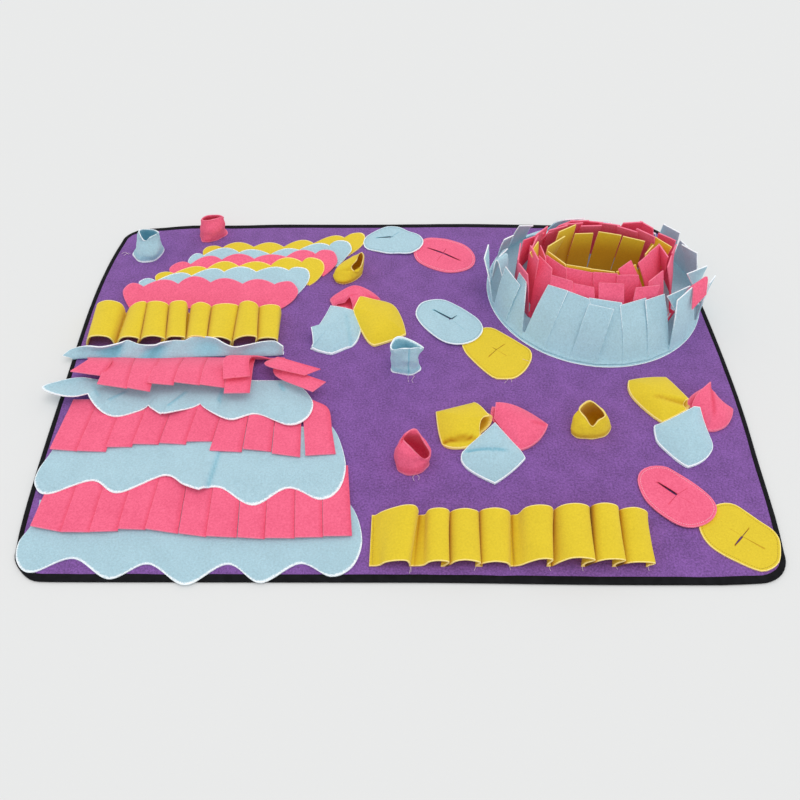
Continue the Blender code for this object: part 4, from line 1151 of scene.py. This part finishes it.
# crown is the middle of the top; the outline goes round clockwise, as smooth stretches that meet at corners, and a
# point is (x, y, height of the top), with the place of the floor's edge after it where the pocket stands open
PETALS = (
    Petal("petal_a_pink", "pink_felt", (0.095, 0.055), (-72, 154, 20),
          (Crease(-60, 165, -45, 150, -3.0, 8, 8, 0.5),), (
        ((-116, 156, 5), (-103, 165, 12), (-76, 173, 22), (-52, 173, 13), (-31, 158, 5)),
        ((-54, 143, 5), (-75, 130, 5)),
        ((-84, 151, 20, -86, 136), (-90, 144, 9, -91, 141)),
        ((-110, 142, 5),), ((-116, 156, 5),))),
    Petal("petal_a_blue", "blue_felt", (0.14, 0.10), (-103, 86, 19),
          (Crease(-89, 120, -75, 43, -3.0, 8, 8, 0.4),), (
        ((-114, 137, 9), (-94, 129, 13), (-75, 124, 11)),
        ((-66, 101, 7), (-62, 83, 4), (-70, 54, 4), (-89, 40, 4), (-107, 30, 4)),
        ((-125, 35, 4), (-139, 42, 5)),
        ((-137, 46, 10, -141, 44), (-139, 64, 15, -132, 48), (-142, 77, 17, -136, 60)),
        ((-129, 86, 14),), ((-120, 114, 11), (-114, 137, 9)))),
    Petal("petal_a_yellow", "yellow_felt", (0.14, 0.115), (-30, 105, 19), (), (
        ((-65, 152, 18), (-42, 149, 13), (-11, 143, 7), (4, 115, 5), (12, 75, 4)),
        ((-11, 61, 4), (-39, 49, 4)),
        ((-51, 60, 4), (-63, 87, 6), (-72, 111, 10), (-75, 123, 15)),
        ((-65, 152, 18),))),
    Petal("petal_b_yellow", "yellow_felt", (0.12, 0.10), (96, -114, 19),
          (Crease(115, -143, 66, -148, -5.0, 6, 6, 1.3),), (
        ((55, -90, 4), (82, -84, 7), (110, -73, 5)),
        ((119, -80, 10), (132, -107, 17, 139, -96)),
        ((120, -117, 18, 135, -112), (117, -137, 9, 121, -128)),
        ((108, -151, 5), (89, -158, 4), (67, -155, 4), (59, -137, 4), (55, -90, 4)))),
    Petal("petal_b_pink", "pink_felt", (0.12, 0.08), (170, -112, 18),
          (Crease(192, -118, 212, -116, -2.0, 6, 6, 0.6),), (
        ((144, -82, 17, 140, -78), (169, -82, 12), (194, -92, 6), (220, -114, 4)),
        ((207, -138, 4), (190, -154, 4), (173, -161, 4)),
        ((159, -141, 6), (140, -106, 9, 138, -103)),
        ((142, -95, 15, 137, -90), (144, -82, 17, 140, -78)))),
    Petal("petal_b_blue", "blue_felt", (0.12, 0.10), (133, -164, 17),
          (Crease(158, -170, 98, -166, -6.0, 8, 8, 1.0),), (
        ((140, -119, 15),), ((159, -143, 9), (174, -163, 6), (180, -176, 4)),
        ((159, -199, 4), (133, -220, 4)),
        ((101, -199, 4), (89, -183, 4), (89, -170, 6), (97, -160, 9)),
        ((117, -141, 11), (140, -119, 15)))),
    Petal("petal_c_yellow", "yellow_felt", (0.12, 0.10), (394, -60, 18),
          (Crease(378, -66, 428, -80, -6.0, 8, 5, 0.6),), (
        ((355, -26, 5), (383, -21, 6), (413, -19, 5)),
        ((419, -31, 8), (433, -75, 18, 443, -65)),
        ((426, -80, 16, 439, -76), (428, -91, 11, 433, -84)),
        ((410, -99, 6), (390, -109, 4)),
        ((370, -86, 4), (353, -54, 5), (355, -26, 5)))),
    Petal("petal_c_pink", "pink_felt", (0.09, 0.075), (470, -86, 20),
          (Crease(463, -112, 473, -52, -6.0, 6, 6, 0.8),), (
        ((472, -46, 24, 470, -38), (479, -60, 13), (490, -72, 7), (502, -83, 4)),
        ((494, -102, 4), (482, -116, 4), (465, -124, 4), (454, -123, 4)),
        ((449, -101, 6), (438, -82, 9, 437, -76)),
        ((449, -65, 20, 443, -58), (472, -46, 24, 470, -38)))),
    Petal("petal_c_blue", "blue_felt", (0.12, 0.10), (418, -136, 17), (), (
        ((439, -87, 15), (448, -88, 15)),
        ((450, -108, 9), (452, -127, 6), (454, -151, 4), (447, -166, 4), (431, -181, 4), (409, -191, 4)),
        ((395, -178, 4), (376, -149, 4), (374, -131, 4), (376, -116, 6)),
        ((398, -108, 9), (439, -87, 15)))),
)
PETAL_TOP_ROWS = 9
PETAL_FLOOR_ROWS = 4
PETAL_BAND = EDGE / 40    # the share of the way in from the rim that shows the fuzz of the cut
PETAL_BAND_FALL = 1.7
PETAL_MOUTH = 0.6         # the rim stands open where both ends of a step add up to more than this
PETAL_FLOOR = 0.2         # mm from the mat to the pocket's floor
PETAL_FULLNESS = 2.2      # more is flatter in the middle and steeper at the rim


def make_petal(petal):
    """A pocket in one sheet: a domed top that turns under at its rim into a flat floor, open at the mouth."""
    stretches = [[(*point, *point[:2], 0.0) if len(point) == 3 else (*point, 1.0) for point in stretch]
                 for stretch in petal.outline]
    rim = rim_line(stretches)
    around = len(rim) - 1
    crown = Vector(petal.crown)
    us = range(around + 1)
    shares = steps(PETAL_TOP_ROWS)[:-1] + [1 - PETAL_BAND_FALL * PETAL_BAND, 1 - PETAL_BAND, 1.0]
    fold = len(shares) - 1
    shares += steps(PETAL_FLOOR_ROWS)[::-1]

    def place(i, j):
        x, y, top, floor_x, floor_y, _ = rim[i % around]
        share = shares[j]
        if j > fold:
            flat = crown.xy.lerp(Vector((floor_x, floor_y)), share)
            return Vector((*flat, LAID / MM + PETAL_FLOOR))
        flat = crown.xy.lerp(Vector((x, y)), share)
        height = mix(crown.z, top, share ** PETAL_FULLNESS) + sum(ridge(crease, *flat) for crease in petal.creases)
        return Vector((*flat, LAID / MM + height))

    def cut(i, j):
        return j == fold and rim[i][5] + rim[i + 1][5] > PETAL_MOUTH

    def edged(i, j):
        return float(fold - 2 < j < fold + 2)

    def depth(i, j):
        # painted shade: the pocket's floor, seen through its mouth, is darkened, beside the painted shade of the
        # creases
        if j > fold:
            return float(j > fold + 1)
        return crease_shade(petal.creases, place(i, j))

    piece = felt_grid(petal.name, petal.finish, us, range(len(shares)), place, cut=cut, merged=True, grow=-1.0,
                      rippled=0.6, edged=edged, depth=depth)


# ---------------------------------------------------------------- nest
NEST_X = 332
NEST_Y = 185.5
NEST_RADIUS = 180.5
Egg = namedtuple("Egg", "x y side front rear")
Ring = namedtuple("Ring", "name finish tongues start width length foot top stagger flat shaded depth tips")
# foot and top are the outlines on which tongues start and end; tips places single tongues one by one: number, then
# (x, y, height) of both corners of the free end, counter-clockwise, and of a fold across it where it has one
RINGS = (
    Ring("nest_blue", "blue_felt", 26, 0, 36, 86, Egg(0, 0, 176.5, 176.5, 176.5), Egg(0, -4, 160, 108, 100), 3.0,
         (1.11, 0.086), 40, 0.2, {
        0: ((158, 1, 86), (141, 31, 80)), 1: ((153, 32, 74), (147, 56, 70)), 2: ((145, 61, 81), (123, 88, 79)),
        6: ((36, 92, 77), (16, 90, 78)), 7: ((-10, 100, 80), (-44, 98, 79)), 9: ((-103, 74, 84), (-127, 71, 86)),
        10: ((-139, 45, 86), (-156, 32, 87)), 11: ((-150, 20, 78), (-165, 4, 74)),
        12: ((-154, -20, 60), (-163, -28, 60), (-156, -2, 86), (-174, -21, 86)),
        13: ((-183, 19, 88), (-192, -14, 86)), 14: ((-159, -32, 84), (-136, -57, 66)),
        15: ((-135, -33, 72), (-126, -55, 72)), 16: ((-93, -66, 75), (-64, -83, 77)),
        17: ((-65, -79, 74), (-28, -101, 74)), 18: ((-35, -111, 75), (2, -123, 75)),
        19: ((-33, -98, 76), (17, -108, 75)), 20: ((13, -113, 74), (57, -95, 74)),
        21: ((54, -103, 76), (87, -88, 76)), 22: ((98, -116, 88), (128, -86, 89)),
        23: ((91, -92, 75), (128, -78, 85)), 24: ((161, -70, 84), (173, -56, 88)),
        25: ((130, -48, 84), (168, -28, 85))}),
    Ring("nest_pink_outer", "pink_felt", 20, -6, 36, 93, Egg(0, 0, 133, 133, 133), Egg(-8, -2, 117, 82, 84), 5.0,
         (0.84, 0.094), 84, 0.8, {
        0: ((113, -6, 92), (127, 20, 90)), 1: ((129, 30, 89), (104, 50, 89)), 2: ((98, 64, 88), (80, 84, 88)),
        3: ((85, 80, 89), (50, 76, 89)), 4: ((44, 78, 82), (14, 86, 82)), 5: ((16, 78, 88), (-16, 82, 89)),
        6: ((-8, 80, 91), (-40, 78, 91)), 7: ((-33, 83, 89), (-60, 68, 89)), 8: ((-58, 60, 90), (-82, 46, 90)),
        9: ((-88, 46, 91), (-125, 26, 91)), 10: ((-130, 18, 92), (-138, -22, 90)),
        11: ((-137, -28, 88), (-126, -56, 88)), 12: ((-102, -8, 87), (-85, -40, 87)),
        13: ((-89, -57, 88), (-57, -72, 88)), 14: ((-56, -72, 84), (-24, -82, 84)),
        15: ((-18, -80, 92), (21, -83, 92)), 16: ((40, -87, 88), (79, -80, 88)), 17: ((63, -72, 88), (91, -45, 88)),
        18: ((130, -112, 65), (157, -84, 72), (127, -85, 90), (154, -64, 92)), 19: ((98, -42, 92), (111, -12, 92))}),
    Ring("nest_pink_inner", "pink_felt", 18, 0, 35, 93, Egg(0, 0, 116, 100, 100), Egg(-8, -2, 104, 66, 70), 5.0,
         (0.73, 0.094), 92, 0.8, {
        0: ((104, -18, 93), (95, 14, 95)), 10: ((-97, 18, 88), (-92, -14, 88)), 11: ((-90, -6, 87), (-62, -40, 87)),
        12: ((-64, -37, 87), (-18, -52, 88)), 13: ((-22, -53, 91), (16, -57, 91)),
        14: ((14, -60, 91), (49, -60, 91)), 15: ((19, -45, 90), (40, -32, 98)), 16: ((54, -29, 90), (75, -8, 92)),
        17: ((75, -6, 92), (95, 12, 96))}),
    Ring("nest_yellow", "yellow_felt", 12, 0, 41, 92, Egg(0, -4, 98, 62, 50), Egg(2, -6, 98, 48, 42), 7.0,
         (0.53, 0.096), 104, 1.0, {
        0: ((116, 8, 93), (94, 35, 93)), 1: ((77, 27, 89), (43, 41, 89)), 2: ((41, 43, 89), (4, 53, 89)),
        3: ((-5, 50, 88), (-36, 48, 88)), 4: ((-33, 64, 95), (-64, 44, 95)), 5: ((-54, 39, 90), (-86, 10, 91)),
        6: ((-102, 16, 97), (-118, -10, 95)), 7: ((-87, 0, 90), (-63, -32, 90)),
        8: ((-62, -33, 90), (-24, -43, 90)), 9: ((-26, -43, 90), (13, -51, 90)), 10: ((16, -48, 88), (50, -30, 88)),
        11: ((70, -6, 90), (88, 18, 90))}),
)
RING_STEPS = 180
SEWN_BAND = 14
NEARBY = 0.01             # the share of the way round over which the direction of an outline is taken
SHADED_FALL = 55          # mm below a ring's shaded height over which the light falls off between the tongues
PALE_EDGES = (0.35, 35, 75)           # painted shade: the share of its pale fuzz that an edge keeps low down in the nest, and from what height to what height it gains the rest
                                      # what height it gains the rest
RING_FLOOR = 2.3          # mm from the disc's underside to the ring's foot
HALF_TONGUE = 0.498       # half of a tongue's share at its foot, less its slit
# rungs of a tongue, as (share of its height, share of its lean)
TIP_RUNG, BEND_RUNG, FOOT_RUNG = (1.0, 1.0), (0.6, 0.53), (0.0, 0.0)
SEWN_LEAN = 0.13          # the share of the lean at the top of the sewn band
SEWN_SAG = 0.06           # the share of the height by which the top of the sewn band hangs lower
DISC_SIDES = 96
DISC_BAND = EDGE / 180
DISC_SHARES = (0.0, 0.1, 0.3, 0.5, 0.7, 0.85, 0.95, 1 - DISC_BAND, 1.0)
# how unevenly the tongues that aren't listed in tips stand: degrees turned, mm in and out, share of the height,
# mm that a tip tilts, and mm of height that are added to what the lean leaves
UNEVEN_TURN, UNEVEN_OUT, UNEVEN_HEIGHT, UNEVEN_TILT, TIP_LIFT = 7, 1.5, 0.02, 1.6, 6


def round_line(egg):
    """A function that gives the place at any share of the way round an egg."""
    points, walked = [], [0.0]
    for k in range(RING_STEPS + 1):
        turn = 2 * math.pi * k / RING_STEPS
        deep = egg.rear if math.sin(turn) > 0 else egg.front
        points.append(Vector((egg.x + egg.side * math.cos(turn), egg.y + deep * math.sin(turn), 0)))
    for a, b in zip(points, points[1:]):
        walked.append(walked[-1] + (b - a).length)

    def at(share):
        goal = (share % 1.0) * walked[-1]
        k = min(bisect(walked, goal), RING_STEPS) - 1
        return points[k].lerp(points[k + 1], (goal - walked[k]) / (walked[k + 1] - walked[k]))

    return at


def tongue_tips(ring, k, foot, top):
    """Both corners of a tongue's free end, leaning from its foot to the top outline of the ring."""
    if k in ring.tips:
        return [Vector(corner) for corner in ring.tips[k]]
    share = (k + 0.5) / ring.tongues + ring.start / 360
    middle = top(share)
    along = (top(share + NEARBY) - top(share - NEARBY)).normalized()
    along.rotate(Matrix.Rotation(math.radians(UNEVEN_TURN * wobble(k, ring.width)), 3, "Z"))
    out = ring.stagger * (0.5 if k % 2 else -0.5) + UNEVEN_OUT * wobble(k, 2.0)
    middle += along.cross(Vector((0, 0, 1))) * out
    lean = (middle - foot(share)).length
    middle.z = math.sqrt(ring.length ** 2 - lean ** 2) * (1 + UNEVEN_HEIGHT * wobble(k, 5.0)) + TIP_LIFT
    tilt = Vector((0, 0, UNEVEN_TILT * wobble(k, 9.0)))
    return [middle - along * ring.width / 2 - tilt, middle + along * ring.width / 2 + tilt]


def make_ring(ring):
    """A comb of tongues sewn down in a circle, each leaning its own way."""
    floor = LAID / MM + RING_FLOOR
    nest = Vector((NEST_X, NEST_Y, 0))
    foot, top = round_line(ring.foot), round_line(ring.top)
    half = HALF_TONGUE / ring.tongues
    tongues = []
    for k in range(ring.tongues):
        share = (k + 0.5) / ring.tongues + ring.start / 360
        corners = tongue_tips(ring, k, foot, top)
        tips, folds = corners[:2], corners[2:]
        sewn = SEWN_BAND / ring.length - SEWN_SAG
        rungs = []
        for up, out in (TIP_RUNG, BEND_RUNG, (sewn, SEWN_LEAN), FOOT_RUNG):
            rung = []
            for tip, start in zip(tips, (foot(share - half), foot(share + half))):
                point = start.lerp(tip, out)
                point.z = mix(floor, tip.z, up)
                rung.append(nest + point)
            rungs.append(rung)
        if folds:
            rungs[1] = [nest + fold for fold in folds]
        tongues.append(rungs)
    piece = comb(ring.name, ring.finish, tongues, along=5, ring=True, grow=-1.0)
    # painted shade: low in the nest the felt is darkened and the pale fuzz of its edges dimmed
    deep, edges = (piece.data.attributes[layer] for layer in ("deep", "cut_edge"))
    pale, low, high = PALE_EDGES
    for k, vert in enumerate(piece.data.vertices):
        height = vert.co.z / MM
        edges.data[k].value *= mix(pale, 1.0, ease((height - low) / (high - low)))
        deep.data[k].value = ring.depth * ease((ring.shaded - height) / SHADED_FALL)


def make_disc():
    def place(i, j):
        turn, radius = 2 * math.pi * (i % DISC_SIDES) / DISC_SIDES, NEST_RADIUS * DISC_SHARES[j]
        return Vector((NEST_X + radius * math.cos(turn), NEST_Y + radius * math.sin(turn), LAID / MM))

    piece = felt_grid("nest_disc", "blue_felt", range(DISC_SIDES + 1), DISC_SHARES, place, merged=True, grow=-1.0,
                      rippled=0.3)


# ---------------------------------------------------------------- stage
CAMERA_PLACE = (-0.0084, -0.8768, 0.9369)
CAMERA_YAW, CAMERA_PITCH, CAMERA_ROLL = 0.709, 48.942, 0.721
CAMERA_LENS = 36.757
SENSOR = 36.0
CAMERA_CLIP = (0.05, 200)
FLOOR_HALF = 60.0         # metres from the middle to each side, so that its far edge is lost at the horizon
FLOOR_DROP = 0.0002       # metres under the mat
SKY_COLOUR, SKY_STRENGTH = (0.98, 0.99, 1.0), 0.87
SUN_AIM = (-0.25, 0.10, -1.0)
SUN_STRENGTH = 0.62
SUN_ANGLE = 35            # degrees across, as wide as a large softbox near by


def make_camera():
    yaw, pitch, roll = (math.radians(a) for a in (CAMERA_YAW, CAMERA_PITCH, CAMERA_ROLL))
    forward = Vector((math.sin(yaw) * math.cos(pitch), math.cos(yaw) * math.cos(pitch), -math.sin(pitch)))
    right = Vector((math.cos(yaw), -math.sin(yaw), 0))
    up = right.cross(forward)
    right, up = right * math.cos(roll) + up * math.sin(roll), up * math.cos(roll) - right * math.sin(roll)
    data = bpy.data.cameras.new("camera")
    data.lens = CAMERA_LENS
    data.sensor_width = SENSOR
    data.clip_start, data.clip_end = CAMERA_CLIP
    camera = add_object("camera", data)
    turned = Matrix((right, up, -forward)).transposed().to_4x4()
    camera.matrix_world = Matrix.Translation(CAMERA_PLACE) @ turned
    bpy.context.scene.camera = camera


def make_light():
    data = bpy.data.lights.new("softbox", "SUN")
    data.energy = SUN_STRENGTH
    data.angle = math.radians(SUN_ANGLE)
    light = add_object("softbox", data)
    light.rotation_mode = "QUATERNION"
    light.rotation_quaternion = Vector(SUN_AIM).to_track_quat("-Z", "Y")


def make_stage():
    scene = bpy.context.scene
    scene.view_settings.view_transform = "Standard"
    bm = bmesh.new()
    bmesh.ops.create_grid(bm, x_segments=1, y_segments=1, size=FLOOR_HALF)
    bmesh.ops.translate(bm, verts=bm.verts, vec=(0, 0, -FLOOR_DROP))
    paper, tree, shader = blank_material("studio_paper")
    feed(tree, shader, {"Base Color": (*scene.felt_colours.floor, 1.0), "Roughness": 1.0, "Specular IOR Level": 0.0})
    add_object("studio_floor", mesh_of("studio_floor", bm, paper))
    world = bpy.data.worlds.new("studio_light")
    world.use_nodes = True
    feed(world.node_tree, world.node_tree.nodes["Background"],
         {"Color": (*SKY_COLOUR, 1.0), "Strength": SKY_STRENGTH})
    scene.world = world
    make_light()
    make_camera()


# ---------------------------------------------------------------- operators and panel
class SNUFFLE_OT_felts(bpy.types.Operator):
    """Mix the felts and the binding tape"""
    bl_idname = "snuffle_mat.felts"
    bl_label = "Felts and tape"

    def execute(self, context):
        make_felts()
        return {"FINISHED"}


class SNUFFLE_OT_base(bpy.types.Operator):
    """Cut the purple base and bind its edge"""
    bl_idname = "snuffle_mat.base"
    bl_label = "Base and binding"

    def execute(self, context):
        make_base()
        make_binding()
        return {"FINISHED"}


class SNUFFLE_OT_loops(bpy.types.Operator):
    """Sew down the two yellow strips of loops"""
    bl_idname = "snuffle_mat.loops"
    bl_label = "Loops"

    def execute(self, context):
        for strip in LOOP_STRIPS:
            make_loops(strip)
        return {"FINISHED"}


class SNUFFLE_OT_flaps(bpy.types.Operator):
    """Lay the wavy blue flaps"""
    bl_idname = "snuffle_mat.flaps"
    bl_label = "Flaps"

    def execute(self, context):
        for strip in FLAPS:
            lay_strip(strip)
        make_flap_1()
        return {"FINISHED"}


class SNUFFLE_OT_fringes(bpy.types.Operator):
    """Lay the pink fringes"""
    bl_idname = "snuffle_mat.fringes"
    bl_label = "Fringes"

    def execute(self, context):
        for row in FRINGES:
            make_fringe(row)
        make_fringe_1()
        return {"FINISHED"}


class SNUFFLE_OT_clouds(bpy.types.Operator):
    """Lay the scalloped strips like tiles"""
    bl_idname = "snuffle_mat.clouds"
    bl_label = "Scalloped strips"

    def execute(self, context):
        for strip in CLOUDS:
            lay_strip(strip)
        return {"FINISHED"}


class SNUFFLE_OT_ovals(bpy.types.Operator):
    """Cut and lay the slit ovals"""
    bl_idname = "snuffle_mat.ovals"
    bl_label = "Slit ovals"

    def execute(self, context):
        for oval in OVALS:
            make_oval(oval)
        return {"FINISHED"}


class SNUFFLE_OT_cups(bpy.types.Operator):
    """Roll the six cups"""
    bl_idname = "snuffle_mat.cups"
    bl_label = "Cups"

    def execute(self, context):
        for cup in CUPS:
            make_cup(cup)
        return {"FINISHED"}


class SNUFFLE_OT_petals(bpy.types.Operator):
    """Fold the pocket petals of the three flowers"""
    bl_idname = "snuffle_mat.petals"
    bl_label = "Petals"

    def execute(self, context):
        for petal in PETALS:
            make_petal(petal)
        return {"FINISHED"}


class SNUFFLE_OT_sewing(bpy.types.Operator):
    """Sew the seams that show and leave their loose ends"""
    bl_idname = "snuffle_mat.sewing"
    bl_label = "Seams and loose ends"

    def execute(self, context):
        make_sewing()
        return {"FINISHED"}


class SNUFFLE_OT_nest(bpy.types.Operator):
    """Build the nest of four rings of tongues on its disc"""
    bl_idname = "snuffle_mat.nest"
    bl_label = "Nest"

    def execute(self, context):
        make_disc()
        for ring in RINGS:
            make_ring(ring)
        return {"FINISHED"}


class SNUFFLE_OT_stage(bpy.types.Operator):
    """Set the floor, the soft light and the camera"""
    bl_idname = "snuffle_mat.stage"
    bl_label = "Stage"

    def execute(self, context):
        make_stage()
        return {"FINISHED"}


MAKERS = (SNUFFLE_OT_stage, SNUFFLE_OT_felts, SNUFFLE_OT_base, SNUFFLE_OT_loops, SNUFFLE_OT_flaps,
          SNUFFLE_OT_fringes, SNUFFLE_OT_clouds, SNUFFLE_OT_ovals, SNUFFLE_OT_cups, SNUFFLE_OT_petals,
          SNUFFLE_OT_nest, SNUFFLE_OT_sewing)


class SNUFFLE_PT_panel(bpy.types.Panel):
    """Colours, sizes and makers of the snuffle mat"""
    bl_idname = "SNUFFLE_PT_panel"
    bl_label = "Snuffle mat"
    bl_space_type = "VIEW_3D"
    bl_region_type = "UI"
    bl_category = "Snuffle mat"

    def draw(self, context):
        for group in (context.scene.felt_colours, context.scene.felt_sizes):
            for key in group.__annotations__:
                self.layout.prop(group, key)
        for maker in MAKERS:
            self.layout.operator(maker.bl_idname)


CLASSES = (FeltColours, FeltSizes, *MAKERS, SNUFFLE_PT_panel)


def register():
    for cls in CLASSES:
        bpy.utils.register_class(cls)
    bpy.types.Scene.felt_colours = PointerProperty(type=FeltColours)
    bpy.types.Scene.felt_sizes = PointerProperty(type=FeltSizes)


def unregister():
    del bpy.types.Scene.felt_sizes
    del bpy.types.Scene.felt_colours
    for cls in reversed(CLASSES):
        bpy.utils.unregister_class(cls)


def main():
    register()
    for maker in MAKERS:
        group, action = maker.bl_idname.split(".")
        getattr(getattr(bpy.ops, group), action)()


if __name__ == "__main__":
    main()
